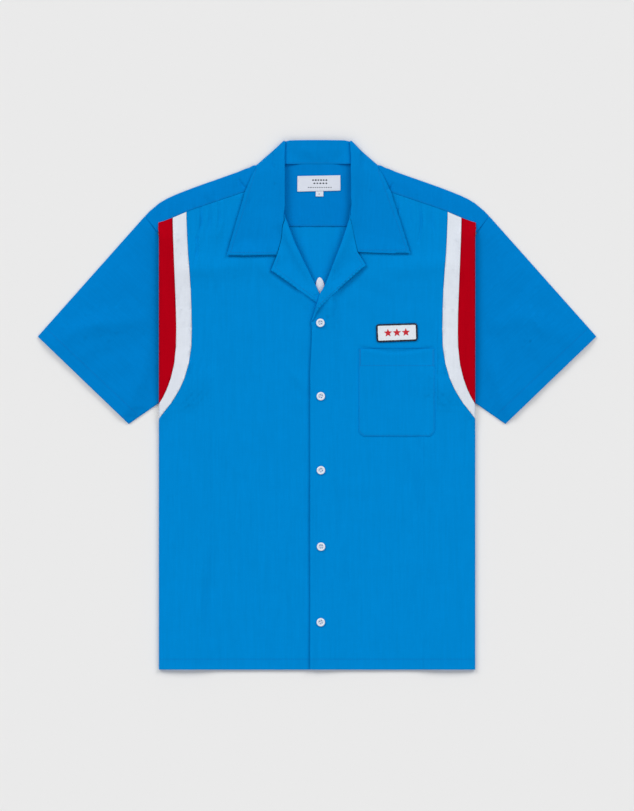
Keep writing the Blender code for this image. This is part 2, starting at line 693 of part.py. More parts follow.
def make_sleeve(name, side):
    """A flattened tube from the hidden armhole to the open cuff."""
    rows = [(y, float(armhole_x(y)) + GAP) for y in SLEEVE_ROWS]
    share = np.linspace(0.0, 1.0, len(rows))
    outer, inner = np.array(CUFF_OUTER), np.array(CUFF_INNER)
    inset = TIGHT + HALF_WALL
    grid = []
    for s in SLEEVE_SHARES:
        line = []
        for k, (y, x) in zip(share, rows):
            cuff = outer + (inner - outer) * k
            line.append((1 - s) * np.array((x, y)) + s * cuff)
        line = np.array(line)
        across = line[-1] - line[0]
        across /= np.hypot(*across)
        line[0] += across * inset
        line[-1] -= across * inset
        grid.append((line, across))
    ring = []
    for line, across in grid:
        x, y = line[:, 0], line[:, 1]
        lift = sleeve_rise(x, y)
        low = np.column_stack((x, y, np.full(len(x), FIRST)))
        high = np.column_stack((x, y, FIRST + PITCH + lift))
        ends = []
        for at, way in ((0, -1.0), (-1, 1.0)):
            turn = FOLD_TURNS[1:-1]
            plan = line[at] + way * TIGHT * np.sin(turn)[:, None] * across
            ends.append(np.column_stack((plan, FIRST + TIGHT * (1 - np.cos(turn)))))
        ring.append(np.concatenate((low[::-1], ends[0], high, ends[1][::-1])))
    tube(name, np.array(ring) * (side, 1.0, 1.0))


def sleeve_rise(x, y):
    clear = ease((x - 246.0) / 24.0)
    edge = ease((x - 246.0) / 60.0)
    creases = sum(ridge(-x, y, row) for row in SLEEVE_CREASES)
    top = CUFF_OUTER[1] + (x - CUFF_OUTER[0]) * -1.117
    below = ease((top - y) / 40.0)
    bottom = UNDERARM[1] - UNDERARM_SLOPE * (x - UNDERARM[0])
    above = ease((y - bottom) / 40.0)
    return clear * below * above * (1.2 * edge + creases)


def tube(name, ring):
    """A closed wall from rings of mid-surface points, open at both ends."""
    around = np.roll(ring, -1, axis=1) - np.roll(ring, 1, axis=1)
    along = np.gradient(ring, axis=0)
    normal = np.cross(around, along)
    normal /= np.linalg.norm(normal, axis=2)[..., None]
    rows, size = ring.shape[:2]
    upper = (ring + normal * HALF_WALL).reshape(-1, 3)
    lower = (ring - normal * HALF_WALL).reshape(-1, 3)
    faces = []
    for i in range(rows - 1):
        for j in range(size):
            k = (j + 1) % size
            faces.append((i * size + j, i * size + k, (i + 1) * size + k, (i + 1) * size + j))
    store(name, *closed(upper, lower, faces), "blue")


def collar_section(neck, roll, edge, m_stand, m_leaf, base):
    """One section of the collar: stand from the neck seam, the roll, then the leaf."""
    neck, roll, edge = np.array(neck), np.array(roll), np.array(edge)
    rise = (roll - neck) / np.hypot(*(roll - neck))
    points = []
    for t in (0.0, 0.5, 1.0):
        plan = neck + (roll - neck) * t
        points.append(np.append(plan, base(plan)) + TIGHT * m_stand)
    middle = np.append(roll, base(roll))
    for turn in FOLD_TURNS[1:-1]:
        share = turn / math.pi
        m = m_stand * (1 - share) + m_leaf * share
        m /= np.linalg.norm(m)
        centre = middle + PITCH * m
        out = np.append(rise, 0.0) * math.sin(turn)
        points.append(centre + TIGHT * (out - math.cos(turn) * m))
    for t in LEAF_SHARES:
        plan = roll + (edge - roll) * t
        points.append(np.append(plan, base(plan)) + WIDE * m_leaf)
    return points


def make_collar():
    up = np.array((0.0, 0.0, 1.0))

    def front_base(sign, height):
        return lambda p: float(height(np.array([sign * p[0]]), np.array([p[1]]))[0]) - TIGHT

    def flat_base(_):
        return FIRST + WIDE

    halves = []
    for sign, rows, height in ((-1, COLLAR_RIGHT, right_front_z), (1, COLLAR_LEFT, left_front_z)):
        half = []
        base = front_base(sign, height)
        for row in rows:
            half.append(
                collar_section(row[0:2], row[2:4], row[4:6], up, up, base)
            )
        neck, roll, edge = (np.array(COLLAR_FOLD[i : i + 2]) for i in (0, 2, 4))
        stand_out = np.append(outward_of(roll - neck), 0.0)
        leaf_out = np.append(outward_of(roll - edge), 0.0)
        for turn in FOLD_TURNS:
            m_stand = stand_out * math.sin(turn) + up * math.cos(turn)
            m_leaf = leaf_out * math.sin(turn) + up * math.cos(turn)
            half.append(collar_section(neck, roll, edge, m_stand, m_leaf, flat_base))
        for share, neck_y, roll_y, edge_y in COLLAR_BACK:
            half.append(
                collar_section((share * neck[0], neck_y), (share * roll[0], roll_y),
                               (share * edge[0], edge_y), -up, -up, flat_base)
            )
        half = np.array(half) * (sign, 1.0, 1.0)
        halves.append(half)
    sections = np.concatenate((halves[0], halves[1][-2::-1]))
    sheet("collar", sections, "blue")


def outward_of(line):
    """Level unit vector square to a fold line of the collar, away from the neck."""
    out = np.array((-line[1], line[0]))
    out /= np.hypot(*out)
    return out if out[1] > 0 else -out


def sheet(name, grid, colour):
    """A closed wall from a grid of mid-surface points."""
    du = np.gradient(grid, axis=0)
    dv = np.gradient(grid, axis=1)
    normal = np.cross(du, dv)
    normal /= np.linalg.norm(normal, axis=2)[..., None]
    rows, size = grid.shape[:2]
    upper = (grid + normal * HALF_WALL).reshape(-1, 3)
    lower = (grid - normal * HALF_WALL).reshape(-1, 3)
    faces = []
    for i in range(rows - 1):
        for j in range(size - 1):
            a = i * size + j
            faces.append((a, a + 1, a + size + 1, a + size))
    store(name, *closed(upper, lower, faces), colour)


def on_front(p):
    return np.column_stack((p, left_front_z(p[:, 0], p[:, 1]) + PITCH))


def on_back(p):
    return np.column_stack((p, support(p[:, 0], p[:, 1]) + FIRST + PITCH))


def arc(centre, radius, start, end, count):
    """Points of an arc, its angles in degrees."""
    turns = np.radians(np.linspace(start, end, count))
    return [(centre[0] + radius * math.cos(t), centre[1] + radius * math.sin(t)) for t in turns]


def make_pocket():
    left, right = POCKET["left"], POCKET["right"]
    top, bottom, r = POCKET["top"], POCKET["bottom"], POCKET["round"]
    outline = arc((left + r, bottom + r), r, 180, 270, 5)
    outline += [(x, bottom) for x in spread(left + 25, right - 25, 22.0)]
    outline += arc((right - r, bottom + r), r, 270, 360, 5)
    outline += [(right, y) for y in spread(bottom + 30, top, 20.0)]
    outline += [(x, top) for x in spread(right - 22, left, 22.0)]
    outline += [(left, y) for y in spread(top - 22, bottom + 28, 20.0)]
    flat, faces = cut(outline, body_columns(WIDE) + [80.0, 100.0, 140.0], BODY_ROWS)
    store("pocket", *wall(flat, faces, on_front), "blue")


def make_patch(name, corners, layout, colour, spacing=16.0):
    """A small four-sided piece sewn on a panel."""
    outline = []
    for a, b in zip(corners, corners[1:] + corners[:1]):
        a, b = np.array(a), np.array(b)
        count = max(1, round(np.hypot(*(b - a)) / spacing))
        outline += [tuple(a + (b - a) * i / count) for i in range(count)]
    low, high = np.min(corners, axis=0), np.max(corners, axis=0)
    columns = spread(low[0], high[0], spacing)
    flat, faces = cut(outline, columns, spread(low[1], high[1], spacing))
    store(name, *wall(flat, faces, layout), colour)


def make_back_patch():
    turn = math.radians(BACK_PATCH["turn"])
    along = np.array((math.cos(turn), math.sin(turn)))
    across = np.array((-along[1], along[0]))
    outline = [
        np.array(BACK_PATCH["centre"])
        + BACK_PATCH["long"] * math.cos(t) * along
        + BACK_PATCH["short"] * math.sin(t) * across
        for t in np.linspace(0, 2 * math.pi, 20, endpoint=False)
    ]
    flat, faces = cut(outline)
    store("back_patch", *wall(flat, faces, on_back), "white")


def make_button(name, x, y):
    """A four-hole button with a raised rim."""
    ring = arc((0, 0), BUTTON_RIM, 0, 360, 13)
    outline = arc((0, 0), BUTTON_RADIUS, 0, 360, 17)[:-1]
    holes = [
        arc((BUTTON_HOLE_RING * sx, BUTTON_HOLE_RING * sy), BUTTON_HOLE, 0, 300, 6)
        for sx in (-1, 1)
        for sy in (-1, 1)
    ]
    flat, faces = cut(outline, lines=[ring], holes=holes)
    away = np.hypot(flat[:, 0], flat[:, 1])
    top = np.where(away < BUTTON_RIM - 0.5, BUTTON_DISH, BUTTON_HEIGHT)
    top = np.where(away > BUTTON_RIM + 0.3, BUTTON_EDGE, top)
    around = np.array(arc((x, y), BUTTON_RADIUS + 1.0, 0, 360, 13))
    seat = float(left_front_z(around[:, 0], around[:, 1]).max()) + HALF_WALL + GAP
    place = np.array((x, y, seat))
    upper = np.column_stack((flat, top)) + place
    lower = np.column_stack((flat, 0 * top)) + place
    store(name, *closed(upper, lower, faces), "button")


for old in list(bpy.data.objects):
    bpy.data.objects.remove(old)
make_back()
make_yoke()
make_front("front_right", -1, LAPEL_RIGHT, COLLAR_RIGHT, right_front_layout, LAP_X)
make_front("front_left", 1, LAPEL_LEFT, COLLAR_LEFT, left_front_layout, PLACKET_X)
make_stripes("right", -1, right_front_layout)
make_stripes("left", 1, left_front_layout)
make_sleeve("sleeve_right", -1)
make_sleeve("sleeve_left", 1)
make_collar()
make_pocket()
make_patch("name_patch", NAME_PATCH, on_front, "white")
make_patch("neck_label", NECK_LABEL, on_back, "label")
make_patch("size_tab", SIZE_TAB, on_back, "label")
make_back_patch()
for number, (x, y) in enumerate(BUTTON_PLACES, start=1):
    make_button("button_" + str(number), x, y)
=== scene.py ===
"""Short-sleeve mechanic shirt laid flat: its cloth, stitching, trims, light and camera."""

import math

import bmesh
import bpy
import numpy as np
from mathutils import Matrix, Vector
from mathutils.bvhtree import BVHTree
from mathutils.geometry import delaunay_2d_cdt


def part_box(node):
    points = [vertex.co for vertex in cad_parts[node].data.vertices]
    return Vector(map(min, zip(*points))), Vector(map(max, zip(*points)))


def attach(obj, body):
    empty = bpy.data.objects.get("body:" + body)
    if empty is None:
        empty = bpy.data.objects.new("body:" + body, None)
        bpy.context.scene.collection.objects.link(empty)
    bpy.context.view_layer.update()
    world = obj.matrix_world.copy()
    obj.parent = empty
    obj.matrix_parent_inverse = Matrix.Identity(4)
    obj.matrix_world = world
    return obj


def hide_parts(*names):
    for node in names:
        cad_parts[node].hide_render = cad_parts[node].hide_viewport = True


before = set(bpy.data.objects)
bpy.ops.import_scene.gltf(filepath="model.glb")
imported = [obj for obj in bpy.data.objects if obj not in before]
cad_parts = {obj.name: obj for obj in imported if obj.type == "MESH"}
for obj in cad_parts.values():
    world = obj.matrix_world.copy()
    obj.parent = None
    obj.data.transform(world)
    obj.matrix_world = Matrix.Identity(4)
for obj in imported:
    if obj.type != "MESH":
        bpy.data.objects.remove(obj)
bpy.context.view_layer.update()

MM = 0.001
DOWN = Vector((0.0, 0.0, -1.0))
UP = Vector((0.0, 0.0, 1.0))

# ---------------------------------------------------------------- the cloth's sizes

GRAIN = 4.0  # spacing of the cloth's mesh, millimetres
FINE_GRAIN = 1.3
LEAST_GRAIN = 0.6
# Where it is finer for narrow creases: x from, to on each front, and the pocket's mouth in y
NARROW_LEFT = ((114, 126), (136, 145), (148, 160), (169, 181))
NARROW_RIGHT = ((-201, -192), (-188, -170), (-168, -157), (-153, -143))
NARROW_MOUTH = ((82, 92),)
NARROW_YOKE = (((-122, -94), (100, 116)), ((322, 340),))
WALL = 1.0 * MM
EDGE_ROUND = 0.3 * MM  # rounding of every cut or turned edge
SHARP_TURN = math.radians(62)  # edges that turn more than this are rounded
FOLD_TURN = math.radians(14)  # edges that turn more than this keep their height
HALF_BREADTH = 236.0  # of the body
NECK_HALF = 66.0
TOP_Y = 396.0  # the collar's back roll

# Shoulder line, from the neck out: x, y in millimetres
SHOULDER = ((60, 369), (98, 357), (150, 338), (184, 327), (215, 315), (238, 302), (258, 283))

# Creases of the body's upper layer, in millimetres:
# start x, y, end x, y, half-width, height (a trough is below 0)
BODY_CREASES = (
    # pressed step across both sides of the chest
    (-228, 196, -150, 206, 17, 1.5),
    (-150, 206, -78, 214, 14, 1.1),
    (226, 205, 160, 212, 15, 1.3),
    (160, 212, 92, 204, 16, 1.2),
    # gathers below the yoke
    (-180, 298, -182, 226, 7, 1.4),
    (-186, 292, -188, 214, 5, -0.6),
    (-148, 304, -150, 252, 7, 1.3),
    (-136, 306, -138, 270, 5, -0.5),
    (-118, 312, -122, 270, 6, 0.6),
    (156, 300, 153, 240, 7, 1.2),
    (134, 306, 138, 262, 6, -0.6),
    (122, 312, 120, 276, 6, 0.5),
    # pressed gathers, narrow, below the yoke and on it
    (-174, 296, -180, 249, 2.0, -1.9),
    (-180, 249, -184, 214, 2.4, -1.5),
    (-148, 302, -149, 264, 2.2, -1.6),
    (-161, 299, -164, 262, 2.6, -1.0),
    (-196, 284, -197, 240, 2.6, -0.9),
    (-117, 337, -107, 326, 2.0, -1.7),
    (-98, 316, -104, 296, 2.4, -0.8),
    (154, 301, 152, 246, 2.0, -1.8),
    (173, 295, 177, 256, 2.6, -1.0),
    (121, 311, 118, 282, 2.2, -1.2),
    (113, 331, 104, 322, 2.0, -1.3),
    (139, 305, 141, 274, 2.4, -0.9),
    # the pocket's mouth
    (68, 86.5, 171, 86.3, 2.6, -1.2),
    # out from under the collar and lapels
    (-84, 214, -62, 190, 9, 1.0),
    (-76, 204, -14, 158, 10, 1.0),
    (66, 200, 120, 176, 12, 0.9),
    (34, 176, 88, 150, 12, 0.7),
    # strips and upper body
    (-196, 58, -192, 2, 9, 1.4),
    (-204, 92, -214, 44, 8, 0.8),
    (196, 60, 191, 6, 9, 1.4),
    (207, 96, 213, 50, 8, 0.8),
    (-44, 62, -18, 28, 8, 1.0),
    (-150, 130, -128, 66, 15, 0.7),
    (-98, 150, -112, 92, 14, 0.6),
    (40, 150, 60, 100, 12, 0.6),
    (-36, 116, -30, 60, 10, 0.5),
    # lower body, long and shallow
    (-156, -232, -154, -372, 9, -0.9),
    (-168, -226, -166, -366, 10, 1.1),
    (-116, -112, -114, -266, 9, -0.8),
    (-104, -104, -100, -262, 11, 1.1),
    (-56, -142, -54, -306, 9, -0.7),
    (-42, -152, -40, -290, 11, 0.9),
    (-204, -126, -226, -232, 10, 0.9),
    (-206, -60, -186, -150, 14, 0.7),
    (-88, -300, -60, -372, 12, 0.8),
    (-28, -330, -34, -380, 8, 0.7),
    (148, -52, 150, -158, 9, -0.8),
    (160, -48, 164, -150, 11, 1.1),
    (150, -200, 132, -292, 11, 1.1),
    (206, -96, 214, -210, 12, 0.9),
    (34, -216, 46, -282, 9, 0.9),
    (52, -212, 62, -300, 9, -0.6),
    (92, -300, 84, -376, 12, 0.8),
    (190, -290, 176, -372, 13, 0.8),
    (38, -352, 34, -388, 8, 0.8),
    (70, -90, 96, -150, 14, 0.6),
    (112, -120, 96, -236, 14, 0.6),
    (-140, -20, -120, -96, 16, 0.7),
    (-82, 10, -70, -64, 14, 0.6),
    (26, -40, 34, -120, 9, 0.5),
    # yoke and shoulders
    (-96, 344, -112, 318, 7, 0.8),
    (-160, 330, -176, 306, 9, 0.6),
    (150, 330, 156, 306, 8, 0.8),
    (118, 340, 108, 326, 7, 0.5),
    # inside the back neck and the collar band
    (-20, 392, -6, 372, 5, 0.8),
    (2, 384, 10, 368, 4, 0.5),
    (-26, 304, -30, 262, 6, 0.7),
    (0, 306, -2, 258, 6, 0.5),
    (22, 300, 26, 264, 6, 0.7),
    (14, 312, 34, 300, 5, 0.5),
    # collar leaves and lapels
    (-76, 282, -70, 240, 7, 1.1),
    (-90, 300, -96, 262, 9, 0.7),
    (-118, 262, -84, 238, 10, -0.6),
    (64, 276, 72, 236, 8, 0.8),
    (96, 322, 104, 262, 9, 0.7),
    (-54, 222, -34, 186, 8, 0.6),
    (56, 208, 34, 186, 8, 0.5),
)
# The same for the sleeves; the wearer's right, then the left
SLEEVE_CREASES = {
    "sleeve_right": (
        (-392, 92, -352, 116, 13, 1.3),
        (-352, 116, -304, 122, 12, 1.7),
        (-304, 122, -256, 124, 12, 1.1),
        (-372, 60, -318, 88, 11, 0.8),
        (-262, 66, -276, 14, 12, 1.7),
        (-276, 14, -292, -16, 9, 0.9),
        (-300, 212, -262, 168, 15, 0.8),
        (-330, 180, -296, 158, 14, 0.6),
        (-330, 40, -300, 66, 12, 0.8),
        (-244, 190, -250, 140, 9, 0.9),
        (-248, 110, -246, 60, 8, 1.0),
        (-252, 262, -246, 236, 7, 0.7),
    ),
    "sleeve_left": (
        (396, 90, 350, 108, 13, 1.0),
        (352, 118, 300, 130, 13, 1.2),
        (300, 130, 258, 118, 12, 1.0),
        (366, 62, 330, 84, 12, 0.9),
        (268, 74, 276, 24, 12, 1.4),
        (276, 24, 292, -14, 10, 1.1),
        (316, 40, 324, 6, 10, 1.0),
        (296, 214, 270, 172, 15, 0.9),
        (330, 176, 306, 146, 12, 0.6),
        (246, 196, 250, 148, 9, 0.9),
        (248, 108, 246, 66, 8, 0.9),
        (252, 262, 246, 238, 7, 0.7),
    ),
}
# Roll of the collar and lapels round the neck opening, top to foot, and its rise
NECK_ROLL = (
    ((-46, 396), (-46, 275), (1, 173)),
    ((49, 396), (49, 278), (10, 182)),
)
ROLL_SHIFT = (  # how far the roll moves across at heights y; the wearer's right, then left
    ((173, -5.0), (200, -5.2), (222, -6.4), (246, -7.0), (268, -4.8), (300, -1.5), (396, -1.5)),
    ((182, 3.0), (200, 2.8), (246, 2.9), (268, 1.6), (290, 0.3), (350, 1.5), (396, 3.0)),
)
# How far the left front's edge lies over below the lapel: height, shift
PLACKET_SHIFT = ((50, 0.0), (98, 2.4), (127, 2.9), (134, 2.4), (152, 1.0), (160, 0.0))
NECK_FOOT = (6.0, 173.0, 13.0, 4.0)  # where the rolls cross: x, y, how wide, and its drop
ROLL_LIFT = 6.0
ROLL_WIDTH = 15.0
ROLL_REACH = 12.0  # how far from the roll its shift is felt
STAND_LIFT = 4.5  # of the collar's stand, from its seam up to the back roll
STAND_HALF = 52.0
STAND_FOOT_Y = 362.0
# Free edges: the collar's leaves, the lapels, and the left front over the right
LEAF_EDGES = (
    ((-97, 355), (-137, 228), (-62, 227)),
    ((96, 354), (141, 230), (63, 231)),
)
LAPEL_EDGES = (
    ((-61, 225), (-69, 205), (-1, 154)),
    ((61, 232), (74, 213), (42, 182), (14, 156), (0, 141)),
)
PLACKET_EDGE = ((-9, 128), (-11, 60), (-11, -396))
EDGE_LIFT = 2.2
LEAF_REACH, LAPEL_REACH, PLACKET_REACH = 26.0, 22.0, 15.0  # how far in each edge is raised
PLACKET_LIFT = 2.4
NAME_PATCH = ((89.9, 94.7), (150.7, 97.0), (149.8, 122.6), (88.9, 120.8))
ARMHOLE_SEAM = ((-257.6, 282.2), (-250.3, 273.4), (-239.7, 259.9), (-237.9, 259.4))
NECK_LABEL = ((-29.6, 320.2), (35.2, 321.8), (35.0, 344.8), (-29.4, 343.6))
POCKET_BOX = (62.0, 176.9, 84.2, -47.2)  # left, right, top, bottom
POCKET_CORNER = 10.5
# A sleeve's upper and lower edges: x and y of a point on each, and the slope outwards
SLEEVE_TOP = (418.9, 102.9, -1.117)
SLEEVE_UNDER = (184.3, 35.5, -0.647)
BODY_LOFT = 1.5  # general rise of the upper layer
CREASE_SHARE = 1.6  # strength of all creases
HEM_Y = -381.0  # the hem's stitching
BACK_SEAM_Y = 268.0
ARMHOLE_RISE = 2.6  # of the strips towards the armhole fold, over the sleeve
SLEEVE_LOFT = 1.3
BACK_SHARE = 0.3  # how far the back follows the front's creases

# ---------------------------------------------------------------- fields


def ease(t):
    t = np.clip(t, 0.0, 1.0)
    return t * t * (3 - 2 * t)


def crease(x, y, row):
    """One soft ridge or trough, rounded across and tapering out along its length."""
    x0, y0, x1, y1, width, height = row
    dx, dy = x1 - x0, y1 - y0
    length = math.hypot(dx, dy)
    t = ((x - x0) * dx + (y - y0) * dy) / length**2
    bend = 0.06 * length * np.sin(math.pi * np.clip(t, 0, 1)) * math.copysign(1, dx * dy + 0.1)
    away = ((x - x0) * dy - (y - y0) * dx) / length + bend
    past = np.clip(np.abs(t - 0.5) - 0.5, 0.0, None) * length
    profile = 0.75 + 0.25 * np.cos(math.pi * (2 * np.clip(t, 0, 1) - 1))
    return height * profile * np.exp(-((away / width) ** 2) - (past / (1.6 * width)) ** 2)


def waves(x, y, sizes, seed):
    """Slow uneven undulation from a few crossing waves, between about -1 and 1."""
    source = np.random.default_rng(seed)
    total = 0.0 * x
    for size in sizes:
        turn, phase = source.uniform(0.0, 2 * math.pi, 2)
        along = (x * math.cos(turn) + y * math.sin(turn)) * 2 * math.pi / size
        total = total + np.sin(along + phase + 1.3 * np.sin(0.37 * along + phase))
    return total / len(sizes)


def shoulder_y(x):
    sx, sy = np.array(SHOULDER, float).T
    return np.interp(np.abs(x), sx, sy)


def body_field(x, y):
    """How far the body's upper layer stands above its solid, in millimetres."""
    inside = 0.45 + 0.55 * ease((HALF_BREADTH - np.abs(x)) / 18.0)
    top = np.where(np.abs(x) < NECK_HALF, TOP_Y, shoulder_y(x))
    inside = inside * ease((top - y) / 16.0)
    armhole = ARMHOLE_RISE * ease((np.abs(x) - 204.0) / 26.0)
    armhole = armhole * ease((y - 2.0) / 46.0) * ease((282.0 - y) / 34.0)
    total = BODY_LOFT + 0.4 * waves(x, y, (190, 130, 95, 70, 52), 3)
    total = total + CREASE_SHARE * sum(crease(x, y, row) for row in BODY_CREASES)
    total = total - 0.5 * ease((HEM_Y - 1.0 - y) / 3.0)
    return inside * np.maximum(total, 0.0) + armhole


def back_field(x, y):
    """The back follows the front a little, and lies on the ground at its hem and sides."""
    ground = ease((y - HEM_Y + 14.0) / 40.0) * ease((HALF_BREADTH - 8.0 - np.abs(x)) / 30.0)
    return BACK_SHARE * ground * body_field(x, y)


def near_line(x, y, line):
    """Distance of points from a line of straight stretches, in millimetres."""
    best = np.full(np.shape(x), 1e9)
    for (x0, y0), (x1, y1) in zip(line, line[1:]):
        dx, dy = x1 - x0, y1 - y0
        t = np.clip(((x - x0) * dx + (y - y0) * dy) / (dx * dx + dy * dy), 0.0, 1.0)
        best = np.minimum(best, np.hypot(x - x0 - t * dx, y - y0 - t * dy))
    return best


def roll_lift(x, y):
    """Rise of collar and lapels towards the roll round the neck opening."""
    near = np.minimum(*(near_line(x, y, line) for line in NECK_ROLL))
    rise = ROLL_LIFT * np.exp(-((near / ROLL_WIDTH) ** 2)) * ease((y - 178.0) / 55.0)
    return rise * (1.0 - 0.6 * ease((y - TOP_Y + 46.0) / 46.0))


def open_edge(x, y, lines, height, width):
    """Rise of a free edge off the cloth that it lies on."""
    near = np.minimum(*(near_line(x, y, line) for line in lines))
    return height * (1.0 - ease(near / width))


def over_body(x, y, z):
    """The roll's rise, for points of height z that lie above the body's lower layer."""
    return ease((z - 1.9) / 0.8) * roll_lift(x, y)


def collar_lift(x, y, z, turned):
    """Rise of the stand and of the leaf's free edge; the collar is nowhere turned over."""
    leaf = ease((z - 3.9) / 0.1)
    edge = open_edge(x, y, LEAF_EDGES, EDGE_LIFT, LEAF_REACH)
    up = np.clip((y - STAND_FOOT_Y) / (TOP_Y - STAND_FOOT_Y), 0.0, 1.0)
    stand = STAND_LIFT * up * ease((STAND_HALF - np.abs(x)) / 12.0)
    return np.maximum(over_body(x, y, z), stand) + leaf * edge * ease((352.0 - y) / 40.0)


def front_lift(x, y, z, turned):
    """Rise of the lapel's free edge off the front that it is turned over."""
    edge = open_edge(x, y, LAPEL_EDGES, EDGE_LIFT, LAPEL_REACH) * ease((y - 132.0) / 16.0)
    return over_body(x, y, z) + turned * edge


def left_front_lift(x, y, z, turned):
    """The same, and the front edge's rise off the right front, a little uneven."""
    placket = open_edge(x, y, (PLACKET_EDGE, PLACKET_EDGE), PLACKET_LIFT, PLACKET_REACH)
    placket = placket * ease((150.0 - y) / 30.0) * (0.8 + 0.2 * np.sin(y / 37.0))
    return front_lift(x, y, z, turned) + placket


def neck_shift(x, y):
    """Draws the roll round the neck opening out to where it lies; across and along."""
    total = 0.0 * x
    for line, shifts in zip(NECK_ROLL, ROLL_SHIFT):
        xs, ys = np.array(line[::-1], float).T
        near = (x - np.interp(y, ys, xs)) / ROLL_REACH
        at, amount = np.array(shifts, float).T
        total = total + np.interp(y, at, amount) * np.exp(-(near**2))
    foot_x, foot_y, reach, drop = NECK_FOOT
    below = -drop * np.exp(-((x - foot_x) ** 2 + (y - foot_y) ** 2) / reach**2)
    return total * ease((y - 158.0) / 12.0), below


def left_front_shift(x, y):
    """The same, and the front edge drawn over to where it lies below the lapel."""
    across, along = neck_shift(x, y)
    at, amount = np.array(PLACKET_SHIFT, float).T
    near = np.exp(-(((x + 9.0) / 11.0) ** 2))
    return across + np.interp(y, at, amount, 0.0, 0.0) * near, along


def patch_shift(x, y):
    """Draws the patch inside the back in to the breadth that shows."""
    return -0.22 * (x - 6.4), 0.0 * y


def shoulder_shift(x, y):
    """Carries the shoulder line straight on to the collar."""
    out = np.abs(x)
    near = ease((102.0 - out) / 8.0) * ease((out - 86.0) / 7.0)
    return 0.0 * x, 3.2 * near * ease((y - 348.0) / 7.0)


def pocket_field(x, y):
    """The pocket follows the front; its sewn edges lie down on it, its mouth a little open."""
    left, right, top, bottom = POCKET_BOX
    inner = POCKET_CORNER - np.hypot(
        np.maximum(np.abs(x - (left + right) / 2) - ((right - left) / 2 - POCKET_CORNER), 0.0),
        np.maximum(bottom + POCKET_CORNER - y, 0.0),
    )
    from_edge = np.where(y < bottom + POCKET_CORNER, inner, np.minimum(x - left, right - x))
    sewn = 1.0 - ease((from_edge - 0.4) / 2.6)
    mouth = ease((y - top + 14.0) / 14.0) * ease((x - left) / 16.0) * ease((right - x) / 16.0)
    return body_field(x, y) - 0.85 * sewn * (1.0 - ease((y - top + 2.0) / 2.0)) + 0.7 * mouth


def sleeve_field(node):
    """The same for a sleeve: how far its upper layer stands above its solid."""
    rows = SLEEVE_CREASES[node]

    def edge_y(out, line):
        return line[1] + line[2] * (out - line[0])

    def field(x, y):
        out = np.abs(x)
        top, bottom = edge_y(out, SLEEVE_TOP), edge_y(out, SLEEVE_UNDER)
        inside = ease((out - 240.0) / 22.0) * ease((top - y) / 24.0) * ease((y - bottom) / 20.0)
        total = SLEEVE_LOFT + 0.4 * waves(x, y, (150, 110, 80, 58), 11)
        total = total + CREASE_SHARE * sum(crease(x, y, row) for row in rows)
        return inside * np.maximum(total, 0.0)

    return field


# ---------------------------------------------------------------- cloth shells


def merged(node):
    """A working copy of a panel's solid, its loose triangles joined."""
    bm = bmesh.new()
    bm.from_mesh(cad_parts[node].data)
    bmesh.ops.remove_doubles(bm, verts=bm.verts, dist=2e-6)
    bmesh.ops.dissolve_degenerate(bm, edges=bm.edges[:], dist=0.02 * MM)
    return bm


def edge_turn(edge):
    return edge.calc_face_angle(0.0) if len(edge.link_faces) == 2 else 0.0


def round_edges(bm):
    sharp = [e for e in bm.edges if edge_turn(e) > SHARP_TURN]
    bmesh.ops.bevel(
        bm,
        geom=sharp,
        offset=EDGE_ROUND,
        segments=2,
        profile=0.5,
        affect="EDGES",
        clamp_overlap=True,
    )


def grid_places(low, high, step, fine):
    """Where a panel is cut across, evenly, and closer where narrow creases run."""
    places = set(np.round(np.arange(math.ceil(low / step) * step, high, step), 3))
    for start, end in fine:
        places |= set(np.round(np.arange(max(start, low), min(end, high), FINE_GRAIN), 3))
    kept = []
    for place in sorted(places):
        if not kept or place - kept[-1] > LEAST_GRAIN:
            kept.append(place)
    return kept


def gridded(bm, step, fine_x=(), fine_y=()):
    """Cuts a panel into an even grid, so that it can take creases; millimetres."""
    bmesh.ops.dissolve_limit(bm, angle_limit=math.radians(0.1), verts=bm.verts[:],
                             edges=bm.edges[:])
    points = np.array([v.co[:] for v in bm.verts]) / MM
    low, high = points.min(axis=0), points.max(axis=0)
    for axis, fine in ((0, fine_x), (1, fine_y)):
        facing = Vector((1.0, 0.0, 0.0)) if axis == 0 else Vector((0.0, 1.0, 0.0))
        for place in grid_places(low[axis], high[axis], step, fine):
            bmesh.ops.bisect_plane(bm, geom=bm.verts[:] + bm.edges[:] + bm.faces[:],
                                   dist=0.08 * MM, plane_co=facing * place * MM,
                                   plane_no=facing)
    bmesh.ops.dissolve_degenerate(bm, edges=bm.edges[:], dist=0.12 * MM)
    bmesh.ops.triangulate(bm, faces=[f for f in bm.faces if len(f.verts) > 4])


def spread_values(values, pairs, count, rounds, share=0.5, hold=None):
    """Averages a value with its neighbours', a few times over."""
    for _ in range(rounds):
        total = np.zeros_like(values)
        np.add.at(total, pairs[:, 0], values[pairs[:, 1]])
        np.add.at(total, pairs[:, 1], values[pairs[:, 0]])
        mean = total / np.maximum(count, 1)
        new = values * (1 - share) + mean * share
        values = new if hold is None else np.where(hold, values, new)
    return values


def uppermost(points, tree):
    """1 for points with nothing of their own piece above them, else 0."""
    lift = Vector((0.0, 0.0, WALL * 1.35))
    found = [tree.ray_cast(Vector(p) + lift, UP)[0] is None for p in points]
    return np.array(found, float)


def turned_over(points, tree):
    """1 for points that lie over another layer of their own piece, else 0."""
    found = []
    for point in points:
        layers, place = 0, Vector(point)
        for _ in range(2):
            place = tree.ray_cast(place - UP * 0.05 * MM, DOWN)[0]
            if place is None:
                break
            layers += 1
        found.append(layers > 1)
    return np.array(found, float)


